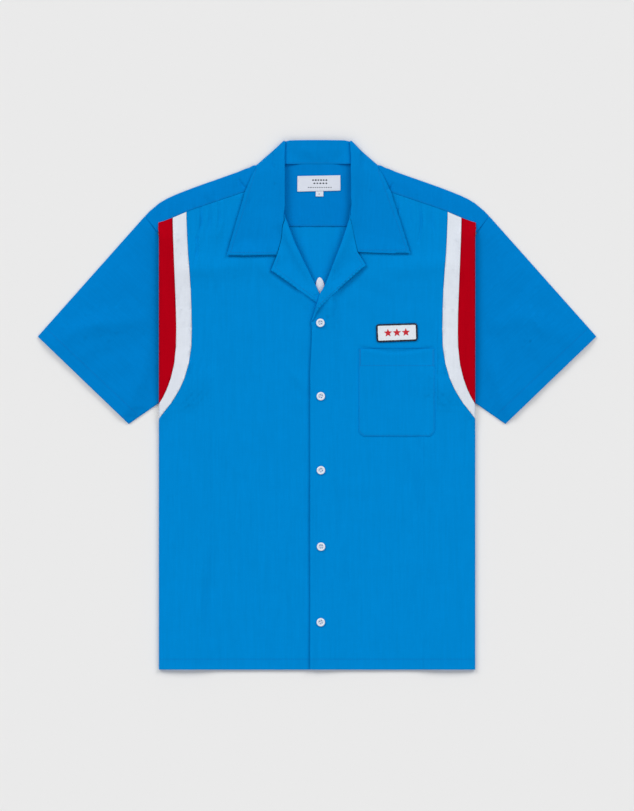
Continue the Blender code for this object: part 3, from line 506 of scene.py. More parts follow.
def cloth_shell(name, node, field, paint, slot, grain=GRAIN, share=1.0, lift=None, fine=(),
                shift=None):
    """A panel as cloth: its solid's form, finer, smoothed and creased."""
    bm = merged(node)
    tree = BVHTree.FromBMesh(bm)
    round_edges(bm)
    gridded(bm, grain, *fine)
    bm.verts.ensure_lookup_table()
    points = np.array([v.co[:] for v in bm.verts])
    pairs = np.array([(e.verts[0].index, e.verts[1].index) for e in bm.edges])
    count = np.bincount(pairs.ravel(), minlength=len(points)).astype(float)
    hold = np.zeros(len(points), bool)
    for e in bm.edges:
        if edge_turn(e) > FOLD_TURN:
            hold[e.verts[0].index] = hold[e.verts[1].index] = True
    turned = spread_values(turned_over(points, tree), pairs, count, 2) if lift else None
    points[:, 2] = spread_values(points[:, 2], pairs, count, 14, 0.6, hold)
    top = spread_values(uppermost(points, tree), pairs, count, 5)
    x, y, height = (points / MM).T
    points[:, 2] += top * share * field(x, y) * MM
    if lift:
        points[:, 2] += lift(x, y, height, turned) * MM
    if shift:
        across, along = shift(x, y)
        points[:, 0] += across * MM
        points[:, 1] += along * MM
    for v, p in zip(bm.verts, points):
        v.co = p
    mesh = bpy.data.meshes.new(name)
    bm.to_mesh(mesh)
    bm.free()
    return finished(name, mesh, paint, slot, node)


def round_corners(piece, corners, radius):
    """Draws the corners of a four-sided patch in to a curve."""
    centre = np.mean(corners, axis=0)
    across = np.array(corners[1], float) - corners[0]
    across = across / np.hypot(*across)
    up = np.array((-across[1], across[0]))
    half = [abs(np.dot(np.array(corners[2], float) - centre, axis)) for axis in (across, up)]
    for v in piece.data.vertices:
        place = np.array((v.co.x, v.co.y)) / MM - centre
        u, w = float(np.dot(place, across)), float(np.dot(place, up))
        past = np.array((abs(u) - half[0] + radius, abs(w) - half[1] + radius))
        if past.min() > 0.0 and np.hypot(*past) > radius:
            past *= radius / np.hypot(*past)
            u = math.copysign(half[0] - radius + past[0], u)
            w = math.copysign(half[1] - radius + past[1], w)
            spot = centre + across * u + up * w
            v.co.x, v.co.y = spot * MM


def fill_armhole_corner(piece):
    """Draws a red strip's top outer corner out to the armhole seam."""
    for v in piece.data.vertices:
        out = ease((abs(v.co.x) / MM - 228.0) / 7.0) * ease((v.co.y / MM - 256.0) / 14.0)
        v.co.x += math.copysign(2.8 * MM, v.co.x) * out


def finished(name, mesh, paint, slot, *nodes, angle=55):
    """A mesh as a piece of the shirt: its material and the nodes it stands for; slot is not used.
    """
    mesh.materials.clear()
    mesh.materials.append(paint)
    mesh.shade_smooth()
    mesh.set_sharp_from_angle(angle=math.radians(angle))
    piece = bpy.data.objects.new(name, mesh)
    bpy.context.scene.collection.objects.link(piece)
    if nodes:
        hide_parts(*nodes)
    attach(piece, "root")
    return piece


# ---------------------------------------------------------------- materials


def group(name, inputs, outputs):
    tree = bpy.data.node_groups.new(name, "ShaderNodeTree")
    for label, kind, value in inputs:
        socket = tree.interface.new_socket(label, in_out="INPUT", socket_type=kind)
        if value is not None:
            socket.default_value = value
    for label, kind in outputs:
        tree.interface.new_socket(label, in_out="OUTPUT", socket_type=kind)
    return tree, tree.nodes.new("NodeGroupInput"), tree.nodes.new("NodeGroupOutput")


def math_node(tree, kind, a, b=None):
    node = tree.nodes.new("ShaderNodeMath")
    node.operation = kind
    for socket, value in zip(node.inputs, (a, b)):
        if isinstance(value, (int, float)):
            socket.default_value = value
        elif value is not None:
            tree.links.new(value, socket)
    return node.outputs[0]


def noise(tree, vector, scale, detail=2.0, stretch=(1.0, 1.0, 1.0)):
    """A noise value; stretch thins it along an axis."""
    mapping = tree.nodes.new("ShaderNodeMapping")
    mapping.inputs["Scale"].default_value = stretch
    tree.links.new(vector, mapping.inputs["Vector"])
    node = tree.nodes.new("ShaderNodeTexNoise")
    node.inputs["Scale"].default_value = scale
    node.inputs["Detail"].default_value = detail
    tree.links.new(mapping.outputs[0], node.inputs["Vector"])
    return node.outputs["Fac"]


def weave_group():
    """Plain weave: fine crossing threads, slubs along both, and a slow streaky shade."""
    tree, given, out = group(
        "plain_weave",
        (
            ("Vector", "NodeSocketVector", None),
            ("Threads per metre", "NodeSocketFloat", 2300.0),
            ("Slub", "NodeSocketFloat", 0.06),
        ),
        (("Height", "NodeSocketFloat"), ("Shade", "NodeSocketFloat")),
    )
    split = tree.nodes.new("ShaderNodeSeparateXYZ")
    tree.links.new(given.outputs["Vector"], split.inputs[0])
    count = math_node(tree, "MULTIPLY", given.outputs["Threads per metre"], math.pi)
    wave_x = math_node(tree, "SINE", math_node(tree, "MULTIPLY", split.outputs[0], count))
    wave_y = math_node(tree, "SINE", math_node(tree, "MULTIPLY", split.outputs[1], count))
    cross = math_node(tree, "MULTIPLY", wave_x, wave_y)
    weave = math_node(tree, "MULTIPLY", math_node(tree, "ABSOLUTE", cross), 0.5)
    warp = noise(tree, given.outputs["Vector"], 900.0, 2.0, (1.0, 0.06, 1.0))
    weft = noise(tree, given.outputs["Vector"], 900.0, 2.0, (0.06, 1.0, 1.0))
    slub = math_node(tree, "ADD", warp, weft)
    tree.links.new(math_node(tree, "ADD", weave, math_node(tree, "MULTIPLY", slub, 0.55)),
                   out.inputs["Height"])
    cloud = noise(tree, given.outputs["Vector"], 55.0, 4.0)
    streak = noise(tree, given.outputs["Vector"], 300.0, 3.0, (1.0, 0.05, 1.0))
    slow = math_node(tree, "ADD", math_node(tree, "MULTIPLY", cloud, 0.8),
                     math_node(tree, "MULTIPLY", streak, 1.8))
    uneven = math_node(tree, "ADD", math_node(tree, "SUBTRACT", slub, 1.0),
                       math_node(tree, "SUBTRACT", slow, 1.3))
    shade = math_node(tree, "MULTIPLY_ADD", uneven, given.outputs["Slub"])
    shade.node.inputs[2].default_value = 1.0
    tree.links.new(shade, out.inputs["Shade"])
    return tree


WEAVE = weave_group()


def cloth_paint(name, colour, turn=0.0, threads=2300.0, slub=0.07, sheen=0.1, rough=0.9,
                bump=0.22, gloss=(1.0, 1.0, 1.0, 1.0)):
    """A woven cloth; turn is its grain's angle on the piece, in degrees."""
    paint = bpy.data.materials.new(name)
    paint.use_nodes = True
    paint.diffuse_color = colour
    tree = paint.node_tree
    shader = tree.nodes["Principled BSDF"]
    place = tree.nodes.new("ShaderNodeTexCoord")
    mapping = tree.nodes.new("ShaderNodeMapping")
    mapping.inputs["Rotation"].default_value = (0.0, 0.0, math.radians(turn))
    tree.links.new(place.outputs["Object"], mapping.inputs["Vector"])
    weave = tree.nodes.new("ShaderNodeGroup")
    weave.node_tree = WEAVE
    weave.inputs["Threads per metre"].default_value = threads
    weave.inputs["Slub"].default_value = slub
    tree.links.new(mapping.outputs[0], weave.inputs["Vector"])
    tint = tree.nodes.new("ShaderNodeMix")
    tint.data_type = "RGBA"
    tint.blend_type = "MULTIPLY"
    tint.inputs["Factor"].default_value = 1.0
    tint.inputs["A"].default_value = colour
    tree.links.new(weave.outputs["Shade"], tint.inputs["B"])
    tree.links.new(tint.outputs["Result"], shader.inputs["Base Color"])
    height = tree.nodes.new("ShaderNodeBump")
    height.inputs["Strength"].default_value = bump
    height.inputs["Distance"].default_value = 0.25 * MM
    tree.links.new(weave.outputs["Height"], height.inputs["Height"])
    tree.links.new(height.outputs["Normal"], shader.inputs["Normal"])
    shader.inputs["Roughness"].default_value = rough
    shader.inputs["Sheen Weight"].default_value = sheen
    shader.inputs["Sheen Roughness"].default_value = 0.5
    shader.inputs["Sheen Tint"].default_value = gloss
    shader.inputs["Specular IOR Level"].default_value = 0.12
    shader.inputs["Specular Tint"].default_value = gloss
    return paint


def plain_paint(name, colour, rough=0.6, spread=0.05, scale=900.0, coat=0.0, bump=0.0):
    """Thread, button or floor: one colour with a slight mottle."""
    paint = bpy.data.materials.new(name)
    paint.use_nodes = True
    paint.diffuse_color = colour
    tree = paint.node_tree
    shader = tree.nodes["Principled BSDF"]
    place = tree.nodes.new("ShaderNodeTexCoord")
    value = noise(tree, place.outputs["Object"], scale, 3.0)
    shade = math_node(tree, "MULTIPLY_ADD", math_node(tree, "SUBTRACT", value, 0.5), spread)
    shade.node.inputs[2].default_value = 1.0
    tint = tree.nodes.new("ShaderNodeMix")
    tint.data_type = "RGBA"
    tint.blend_type = "MULTIPLY"
    tint.inputs["Factor"].default_value = 1.0
    tint.inputs["A"].default_value = colour
    tree.links.new(shade, tint.inputs["B"])
    tree.links.new(tint.outputs["Result"], shader.inputs["Base Color"])
    shader.inputs["Roughness"].default_value = rough
    shader.inputs["Specular IOR Level"].default_value = 0.3
    shader.inputs["Coat Weight"].default_value = coat
    shader.inputs["Coat Roughness"].default_value = 0.2
    if bump:
        height = tree.nodes.new("ShaderNodeBump")
        height.inputs["Strength"].default_value = bump
        height.inputs["Distance"].default_value = 0.2 * MM
        tree.links.new(value, height.inputs["Height"])
        tree.links.new(height.outputs["Normal"], shader.inputs["Normal"])
    return paint


BLUE_GLOSS = (0.02, 0.4, 1.0, 1.0)
RED_GLOSS = (1.0, 0.05, 0.08, 1.0)
blue_body = cloth_paint("blue_poplin_body", (0.0, 0.236, 0.635, 1.0), gloss=BLUE_GLOSS)
# The yoke, collar and sleeves are the body's cloth; their darker colours are painted shade,
# standing in for the weaker light those parts catch.
blue_yoke_painted_shade = cloth_paint("blue_poplin_yoke_painted_shade", (0.0, 0.2, 0.585, 1.0), turn=-3.0, gloss=BLUE_GLOSS)
blue_collar_painted_shade = cloth_paint("blue_poplin_collar_painted_shade", (0.0, 0.214, 0.604, 1.0), turn=4.0,
                          gloss=BLUE_GLOSS)
# Painted shade: the sleeves' blue is the body's blue darkened for the light they lose.
SLEEVE_BLUE_PAINTED_SHADE = (0.0, 0.206, 0.592, 1.0)
blue_sleeve_painted_shade = {
    "sleeve_left": cloth_paint("blue_poplin_sleeve_left_painted_shade", SLEEVE_BLUE_PAINTED_SHADE, 48.0, gloss=BLUE_GLOSS),
    "sleeve_right": cloth_paint("blue_poplin_sleeve_right_painted_shade", SLEEVE_BLUE_PAINTED_SHADE, -48.0,
                                gloss=BLUE_GLOSS),
}
white_cloth = cloth_paint("white_poplin", (0.72, 0.765, 0.84, 1.0), slub=0.04)
red_cloth = cloth_paint("red_poplin", (0.434, 0.0, 0.007, 1.0), slub=0.1, gloss=RED_GLOSS)
label_tape = cloth_paint("woven_label_tape", (0.7, 0.74, 0.83, 1.0), threads=3600.0,
                         slub=0.03, rough=0.6)
patch_ground = cloth_paint("patch_twill", (0.75, 0.8, 0.86, 1.0), turn=45.0, threads=2600.0,
                           slub=0.04, bump=0.35)
blue_thread = plain_paint("blue_sewing_thread", (0.0, 0.14, 0.46, 1.0), 0.7, 0.2)
white_thread = plain_paint("white_sewing_thread", (0.8, 0.82, 0.86, 1.0), 0.5, 0.1)
black_thread = plain_paint("black_border_thread", (0.012, 0.014, 0.03, 1.0), 0.5, 0.3)
red_thread = plain_paint("red_embroidery_thread", (0.55, 0.015, 0.03, 1.0), 0.45, 0.25,
                         bump=0.3)
button_shell = plain_paint("pearl_button", (0.76, 0.8, 0.87, 1.0), 0.3, 0.08, 260.0, 0.3)
# Painted shade: the recessed dish is coloured darker and bluer than the rim.
button_dish_painted_shade = plain_paint("pearl_button_dish_painted_shade", (0.56, 0.68, 0.84, 1.0), 0.35, 0.1, 260.0, 0.2)
floor_paint = plain_paint("pale_floor", (0.83, 0.83, 0.83, 1.0), 0.9, 0.004, 6.0)

# ---------------------------------------------------------------- the panels

PANELS = {}


def panel(name, node, field, paint, slot, **sizes):
    """A panel of the shirt, kept by name for what is sewn on it."""
    PANELS[name] = cloth_shell(name, node, field, paint, slot, **sizes)
    return PANELS[name]


panel("back_cloth", "back", back_field, blue_body, "blue", grain=8.0)
panel("yoke_cloth", "yoke", body_field, blue_yoke_painted_shade, "blue", grain=4.0,
      fine=NARROW_YOKE, shift=shoulder_shift)
for side in ("left", "right"):
    panel(f"front_{side}_cloth", f"front_{side}", body_field, blue_body, "blue",
          lift=left_front_lift if side == "left" else front_lift,
          shift=left_front_shift if side == "left" else neck_shift,
          fine=(NARROW_LEFT, NARROW_MOUTH) if side == "left" else (NARROW_RIGHT,))
    panel(f"white_strip_{side}", f"stripe_white_{side}", body_field, white_cloth, "white")
    panel(f"red_strip_{side}", f"stripe_red_{side}", body_field, red_cloth, "red")
    node = f"sleeve_{side}"
    panel(f"{node}_cloth", node, sleeve_field(node), blue_sleeve_painted_shade[node], "blue")
panel("collar_cloth", "collar", body_field, blue_collar_painted_shade, "blue", grain=3.5,
      lift=collar_lift, shift=neck_shift)
panel("pocket_cloth", "pocket", pocket_field, blue_body, "blue", grain=2.5)
panel("name_patch_ground", "name_patch", body_field, patch_ground, "patch", grain=2.5)
round_corners(PANELS["name_patch_ground"], NAME_PATCH, 3.0)
for side in ("left", "right"):
    fill_armhole_corner(PANELS[f"red_strip_{side}"])
panel("neck_label_tape", "neck_label", body_field, label_tape, "label", grain=3.5)
panel("size_tab_tape", "size_tab", body_field, label_tape, "label", grain=3.5)
panel("back_patch_cloth", "back_patch", back_field, white_cloth, "white", grain=3.5,
      shift=patch_shift)


# ---------------------------------------------------------------- stitching


def stitch_tree():
    """Sets threads end to end along a path, each a small oval, slightly uneven."""
    tree = bpy.data.node_groups.new("stitches_along_a_seam", "GeometryNodeTree")
    tree.is_modifier = True
    tree.interface.new_socket("Path", in_out="INPUT", socket_type="NodeSocketGeometry")
    for label, value in (("Pitch", 2.8), ("Along", 2.2), ("Across", 0.5), ("Height", 0.3)):
        socket = tree.interface.new_socket(label, in_out="INPUT", socket_type="NodeSocketFloat")
        socket.default_value = value * MM
    seed = tree.interface.new_socket("Seed", in_out="INPUT", socket_type="NodeSocketInt")
    seed.default_value = 5
    tree.interface.new_socket("Thread", in_out="INPUT", socket_type="NodeSocketMaterial")
    tree.interface.new_socket("Stitches", in_out="OUTPUT", socket_type="NodeSocketGeometry")
    given, out = tree.nodes.new("NodeGroupInput"), tree.nodes.new("NodeGroupOutput")

    def step(kind, links, **values):
        node = tree.nodes.new(kind)
        for label, value in values.items():
            setattr(node, label, value)
        for label, source in links.items():
            if hasattr(source, "is_linked"):
                tree.links.new(source, node.inputs[label])
            else:
                node.inputs[label].default_value = source
        return node

    line = step("GeometryNodeMeshToCurve", {"Mesh": given.outputs["Path"]})
    points = step("GeometryNodeCurveToPoints",
                  {"Curve": line.outputs[0], "Length": given.outputs["Pitch"]}, mode="LENGTH")
    oval = step("GeometryNodeMeshUVSphere", {"Segments": 6, "Rings": 4, "Radius": 0.5})
    size = step("ShaderNodeCombineXYZ", {"X": given.outputs["Along"],
                                         "Y": given.outputs["Across"],
                                         "Z": given.outputs["Height"]})
    thread = step("GeometryNodeTransform",
                  {"Geometry": oval.outputs["Mesh"], "Scale": size.outputs[0]})
    aim = step("FunctionNodeAlignRotationToVector", {"Vector": points.outputs["Tangent"]},
               axis="X", pivot_axis="Z")
    uneven = step("FunctionNodeRandomValue", {"Seed": given.outputs["Seed"]},
                  data_type="FLOAT")
    uneven.inputs[2].default_value = 0.86
    uneven.inputs[3].default_value = 1.1
    placed = step("GeometryNodeInstanceOnPoints",
                  {"Points": points.outputs["Points"], "Instance": thread.outputs[0],
                   "Rotation": aim.outputs[0], "Scale": uneven.outputs[1]})
    real = step("GeometryNodeRealizeInstances", {"Geometry": placed.outputs[0]})
    painted = step("GeometryNodeSetMaterial",
                   {"Geometry": real.outputs[0], "Material": given.outputs["Thread"]})
    tree.links.new(painted.outputs[0], out.inputs[0])
    return tree


STITCHES = stitch_tree()


def surface(*pieces):
    """The shape of finished pieces, to set other things on."""
    points, faces = [], []
    for piece in pieces:
        first = len(points)
        points += [v.co[:] for v in piece.data.vertices]
        faces += [[first + i for i in p.vertices] for p in piece.data.polygons]
    return BVHTree.FromPolygons(points, faces)


def dense(line, step=2.0):
    """Extra points along a line, so that it follows the cloth."""
    full = [line[0]]
    for (x0, y0), (x1, y1) in zip(line, line[1:]):
        count = max(1, round(math.hypot(x1 - x0, y1 - y0) / step))
        full += [(x0 + (x1 - x0) * i / count, y0 + (y1 - y0) * i / count)
                 for i in range(1, count + 1)]
    return full


def laid_on(ground, line, above=0.08, under=False):
    """A line of x, y in millimetres set on a surface from over it, or from under it."""
    path = []
    for x, y in dense(line):
        start = Vector((x * MM, y * MM, -0.02 if under else 0.06))
        found = ground.ray_cast(start, UP if under else DOWN)[0]
        if found is not None:
            path.append((found.x, found.y, found.z + (-above if under else above) * MM))
    return path


SEWN_ON = {name: [] for name in PANELS}


def sewn(name, on, paths, thread, slot, pitch=2.8, along=2.2, across=0.5, height=0.3, seed=5):
    """Stitches along paths on a cloth piece, as one plain mesh; sizes in millimetres."""
    points, edges = [], []
    for path in paths:
        first = len(points)
        points += path
        edges += [(i, i + 1) for i in range(first, len(points) - 1)]
    mesh = bpy.data.meshes.new(f"{name}_path")
    mesh.from_pydata(points, edges, [])
    carrier = bpy.data.objects.new(f"{name}_path", mesh)
    bpy.context.scene.collection.objects.link(carrier)
    change = carrier.modifiers.new("stitches", "NODES")
    change.node_group = STITCHES
    sockets = {item.name: item.identifier for item in STITCHES.interface.items_tree
               if item.in_out == "INPUT"}
    sizes = {"Pitch": pitch, "Along": along, "Across": across, "Height": height}
    for label, value in sizes.items():
        change[sockets[label]] = value * MM
    change[sockets["Seed"]] = seed
    change[sockets["Thread"]] = thread
    graph = bpy.context.evaluated_depsgraph_get()
    made = bpy.data.meshes.new_from_object(carrier.evaluated_get(graph))
    bpy.data.objects.remove(carrier)
    made.name = name
    SEWN_ON[on].append(finished(name, made, thread, slot))


def rounded(corners, inset, radius, steps=5):
    """A closed line inside a four-cornered outline, its corners rounded."""
    line = []
    count = len(corners)
    for i in range(count):
        here = np.array(corners[i], float)
        before = np.array(corners[i - 1], float) - here
        after = np.array(corners[(i + 1) % count], float) - here
        before, after = before / np.hypot(*before), after / np.hypot(*after)
        inward = before + after
        corner = here + inward * inset
        for k in range(steps + 1):
            t = k / steps
            a, b = corner + before * radius, corner + after * radius
            line.append(tuple((1 - t) ** 2 * a + 2 * t * (1 - t) * corner + t**2 * b))
    return line + line[:1]


def seam_wall(name, lines, low, high, half):
    """The turned edges inside a seam, as a narrow upright band; sizes in millimetres."""
    points, faces = [], []
    for line in lines:
        first, line = len(points), dense(line, 6.0)
        for i, (x, y) in enumerate(line):
            before, after = line[max(i - 1, 0)], line[min(i + 1, len(line) - 1)]
            dx, dy = after[0] - before[0], after[1] - before[1]
            size = math.hypot(dx, dy)
            side = np.array((-dy, dx)) / size * half
            points += [((x + s * side[0]) * MM, (y + s * side[1]) * MM, z * MM)
                       for s, z in ((1, low), (-1, low), (-1, high), (1, high))]
        for i in range(len(line) - 1):
            for k in range(4):
                a, b = first + 4 * i + k, first + 4 * i + (k + 1) % 4
                faces.append((a, a + 4, b + 4, b))
        last = first + 4 * (len(line) - 1)
        faces += [(first, first + 1, first + 2, first + 3),
                  (last + 3, last + 2, last + 1, last)]
    mesh = bpy.data.meshes.new(name)
    mesh.from_pydata(points, [], faces)
    bm = bmesh.new()
    bm.from_mesh(mesh)
    bmesh.ops.recalc_face_normals(bm, faces=bm.faces)
    bm.to_mesh(mesh)
    bm.free()
    # The band takes the yoke's colour, which is painted darker than the body cloth as shade.
    SEWN_ON["yoke_cloth"].append(finished(name, mesh, blue_yoke_painted_shade, "blue"))


seam_wall("armhole_seam_edges",
          [[(s * x, y) for x, y in ARMHOLE_SEAM] for s in (1, -1)], 0.2, 2.3, 0.5)
seam_wall("back_yoke_seam_edges",
          [((-234.0, BACK_SEAM_Y), (234.0, BACK_SEAM_Y))], 0.15, 0.8, 0.45)

yoke_top = surface(PANELS["yoke_cloth"])
back_tree = surface(PANELS["back_cloth"])
collar_top = surface(PANELS["collar_cloth"])
pocket_top = surface(PANELS["pocket_cloth"])
patch_top = surface(PANELS["name_patch_ground"])
label_top = surface(PANELS["neck_label_tape"])
tab_top = surface(PANELS["size_tab_tape"])

# Front yoke seam, from the neck to the armhole, in millimetres
FRONT_SEAM = ((60.0, 337.5), (108.1, 320.2), (150.0, 306.0), (195.8, 290.1), (217.0, 281.1),
              (236.0, 273.9))
# Topstitching of the collar's two leaves and of the lapels
LEAF_STITCH = (
    ((-91.6, 353.5), (-130.1, 229.0), (-60.6, 229.0)),
    ((91.4, 352.7), (134.6, 232.8), (64.0, 232.8)),
)
LAPEL_STITCH = (
    ((-56.8, 223.0), (-63.0, 206.4), (-4.5, 161.5)),
    ((58.4, 227.5), (68.4, 211.3), (53.6, 198.0), (38.6, 183.2), (23.6, 169.4), (5.4, 153.0),
     (-3.6, 144.2)),
)
CUFFS = {
    "left": ((405.6, 114.6), (270.4, -13.6)),
    "right": ((-405.4, 114.6), (-270.2, -13.6)),
}
NECK_SEAM_Y = 361.5
MOUTH_STITCH_Y = 59.5  # below the pocket's mouth

sewn("collar_topstitch", "collar_cloth",
     [laid_on(collar_top, line) for line in LEAF_STITCH], blue_thread, "blue")
for side, line in zip(("right", "left"), LAPEL_STITCH):
    front = surface(PANELS[f"front_{side}_cloth"])
    sewn(f"lapel_{side}_topstitch", f"front_{side}_cloth", [laid_on(front, line)],
         blue_thread, "blue")
    hem = ((-9.0, HEM_Y), (236.0, HEM_Y)) if side == "left" else ((-236.0, HEM_Y), (-13.0, HEM_Y))
    sewn(f"front_{side}_hem_stitch", f"front_{side}_cloth", [laid_on(front, hem)],
         blue_thread, "blue")
seam_sides = [[(s * x, y + 2.0) for x, y in FRONT_SEAM] for s in (1, -1)]
sewn("yoke_topstitch", "yoke_cloth",
     [laid_on(yoke_top, line) for line in seam_sides]
     + [laid_on(yoke_top, ((-48.0, BACK_SEAM_Y + 2.0), (50.0, BACK_SEAM_Y + 2.0)))]
     + [laid_on(yoke_top, ((-234.0, BACK_SEAM_Y + 2.0), (234.0, BACK_SEAM_Y + 2.0)),
                0.0, under=True)],
     blue_thread, "blue")
sewn("neck_seam_stitch", "collar_cloth",
     [laid_on(collar_top, ((-42.0, NECK_SEAM_Y + 2.0), (45.0, NECK_SEAM_Y + 2.0)))],
     blue_thread, "blue")
sewn("back_hem_stitch", "back_cloth",
     [laid_on(back_tree, ((-234.0, HEM_Y), (234.0, HEM_Y)), 0.0, under=True)],
     blue_thread, "blue")
for side, line in CUFFS.items():
    sleeve = surface(PANELS[f"sleeve_{side}_cloth"])
    sewn(f"sleeve_{side}_hem_stitch", f"sleeve_{side}_cloth",
         [laid_on(sleeve, line), laid_on(sleeve, line, 0.0, under=True)], blue_thread, "blue")

left, right, top, bottom = POCKET_BOX
pocket_half = [(1.6, top - 1.0), (1.6, bottom + POCKET_CORNER), (4.4, bottom + 4.4),
               (POCKET_CORNER, bottom + 1.6)]  # how far in from the side, and y
pocket_line = [(left + x, y) for x, y in pocket_half]
pocket_line += [(right - x, y) for x, y in pocket_half[::-1]]
sewn("pocket_stitch", "pocket_cloth",
     [laid_on(pocket_top, pocket_line),
      laid_on(pocket_top, ((left + 1.5, MOUTH_STITCH_Y), (right - 1.5, MOUTH_STITCH_Y)))],
     blue_thread, "blue", pitch=2.5, along=2.0)
sewn("pocket_bartacks", "pocket_cloth",
     [laid_on(pocket_top, ((x, top - 1.2), (x, MOUTH_STITCH_Y + 1.0)))
      for x in (left + 3.0, right - 3.0)],
     blue_thread, "blue", pitch=1.1, along=1.0, across=0.8)

sewn("name_patch_border", "name_patch_ground",
     [laid_on(patch_top, rounded(NAME_PATCH, 0.7, 2.8), -0.15)], black_thread, "patch",
     pitch=0.42, along=0.52, across=3.3, height=1.6)
sewn("name_patch_inner_stitch", "name_patch_ground",
     [laid_on(patch_top, rounded(NAME_PATCH, 4.6, 0.8))], white_thread, "patch",
     pitch=2.2, along=1.8, across=0.4, height=0.25)
sewn("neck_label_stitch", "neck_label_tape",
     [laid_on(label_top, rounded(NECK_LABEL, 1.3, 0.5))], white_thread, "label",
     pitch=2.0, along=1.6, across=0.4, height=0.25)

# Plain dashes on the label, rows of x from, x to, y
DASHES = ((-6.0, 14.0, 337.6), (-4.0, 14.0, 332.8), (-12.5, 21.0, 326.6))
sewn("neck_label_dashes", "neck_label_tape",
     [laid_on(label_top, ((x0, y), (x1, y))) for x0, x1, y in DASHES[:2]], black_thread,
     "label", pitch=3.7, along=3.1, across=2.3, height=0.3)
sewn("neck_label_fine_dashes", "neck_label_tape",
     [laid_on(label_top, ((x0, y), (x1, y))) for x0, x1, y in DASHES[2:]]
     + [laid_on(tab_top, ((3.0, 316.6), (5.4, 316.6)))], black_thread,
     "label", pitch=3.1, along=2.2, across=1.4, height=0.25)


def stars(name, ground, centres, radius, turn, thread, slot):
    """Five-pointed stars of raised embroidery, each domed to its middle."""
    points, faces = [], []
    for cx, cy in centres:
        ring = []
        for k in range(10):
            reach = radius if k % 2 == 0 else radius * 0.45
            angle = math.radians(turn + 90.0 + 36.0 * k)
            ring.append((cx + reach * math.cos(angle), cy + reach * math.sin(angle)))
        first = len(points)
        height = ground.ray_cast(Vector((cx * MM, cy * MM, 0.06)), DOWN)[0].z
        points += [(x * MM, y * MM, height - 0.4 * MM) for x, y in ring]
        points += [(x * MM, y * MM, height + 0.28 * MM) for x, y in ring]
        points += [(cx * MM, cy * MM, height - 0.4 * MM), (cx * MM, cy * MM, height + 0.75 * MM)]
        under, over = first + 20, first + 21
        for k in range(10):
            a, b = first + k, first + (k + 1) % 10
            faces += [(b, a, under), (a, b, b + 10, a + 10), (a + 10, b + 10, over)]
    mesh = bpy.data.meshes.new(name)
    mesh.from_pydata(points, [], faces)
    SEWN_ON["name_patch_ground"].append(finished(name, mesh, thread, slot, angle=25))


PATCH_LEAN = 2.2  # degrees
STAR_SPACING, STAR_RADIUS = 13.4, 6.3
patch_x, patch_y = np.mean(NAME_PATCH, axis=0)
across = STAR_SPACING * math.cos(math.radians(PATCH_LEAN))
along = STAR_SPACING * math.sin(math.radians(PATCH_LEAN))
stars("name_patch_stars", patch_top, [(patch_x + k * across, patch_y + k * along)
                                      for k in (-1, 0, 1)],
      STAR_RADIUS, PATCH_LEAN, red_thread, "red")

# ---------------------------------------------------------------- buttons

BUTTON_RINGS = (  # radius, height above the button's own underside, millimetres
    (6.35, 1.25), (6.2, 1.75), (5.85, 2.15), (5.3, 2.38), (4.5, 2.4), (4.0, 2.2), (3.7, 1.6),
    (3.5, 1.25), (0.0, 1.2),
)
DISH_RADIUS = 3.9
UNDER_RADIUS, UNDER_BEVEL = 5.9, 0.5
HOLE_RADIUS, HOLE_PLACE = 0.95, 1.5


def button_mesh():
    """A four-hole button's points, faces and which faces are its dish, in millimetres."""
    flat, edges = [], []

    def ring(cx, cy, radius, count):
        first = len(flat)
        for k in range(count):
            angle = 2 * math.pi * (k + 0.5) / count
            flat.append(Vector((cx + radius * math.cos(angle), cy + radius * math.sin(angle))))
        edges.extend((first + k, first + (k + 1) % count) for k in range(count))

    for radius, _ in BUTTON_RINGS[:-1]:
        ring(0.0, 0.0, radius, 40)
    holes = [(sx * HOLE_PLACE, sy * HOLE_PLACE) for sx in (1, -1) for sy in (1, -1)]
    for cx, cy in holes:
        ring(cx, cy, HOLE_RADIUS, 10)
    flat.append(Vector((0.0, 0.0)))
    spots, _, cells, *_ = delaunay_2d_cdt(flat, edges, [], 0, 1e-6)
    radii, heights = np.array(BUTTON_RINGS[::-1]).T
    over = [(p.x, p.y, float(np.interp(p.length, radii, heights))) for p in spots]
    under = [(p.x, p.y, UNDER_BEVEL if p.length > UNDER_RADIUS else 0.0) for p in spots]

    def solid(cell):
        middle = sum((spots[i] for i in cell), Vector((0.0, 0.0))) / len(cell)
        return all((middle - Vector(h)).length > HOLE_RADIUS * 0.9 for h in holes)

    count = len(spots)
    top = [tuple(cell) for cell in cells if solid(cell)]
    faces = top + [tuple(i + count for i in reversed(cell)) for cell in top]
    sides = [pair for cell in top for pair in zip(cell, cell[1:] + cell[:1])]
    seen = set(sides)
    rim = [(a, b) for a, b in sides if (b, a) not in seen]
    faces += [(b, a, a + count, b + count) for a, b in rim]
    dish = [all(i < count and spots[i].length < DISH_RADIUS for i in face) for face in faces]
    return over + under, faces, dish


def thread_bar(x, y0, y1, height, radius=0.2, sides=6, steps=7):
    """A bar of sewing thread from hole to hole, its ends going down into them."""
    points, faces = [], []
    for i in range(steps + 1):
        t = i / steps
        angle = math.pi * t
        y = (y0 + y1) / 2 - (y1 - y0) / 2 * math.cos(angle)
        z = height + 0.62 * math.sin(angle) ** 0.5 - 0.35
        slope = math.cos(angle) * 1.1
        for k in range(sides):
            turn = 2 * math.pi * k / sides
            out_x, up = radius * math.cos(turn), radius * math.sin(turn)
            points.append((x + out_x, y - up * slope * 0.6, z + up))
    for i in range(steps):
        for k in range(sides):
            a, b = i * sides + k, i * sides + (k + 1) % sides
            faces.append((a, a + sides, b + sides, b))
    faces.append(tuple(range(sides)))
    faces.append(tuple(reversed(range(steps * sides, steps * sides + sides))))
    return points, faces


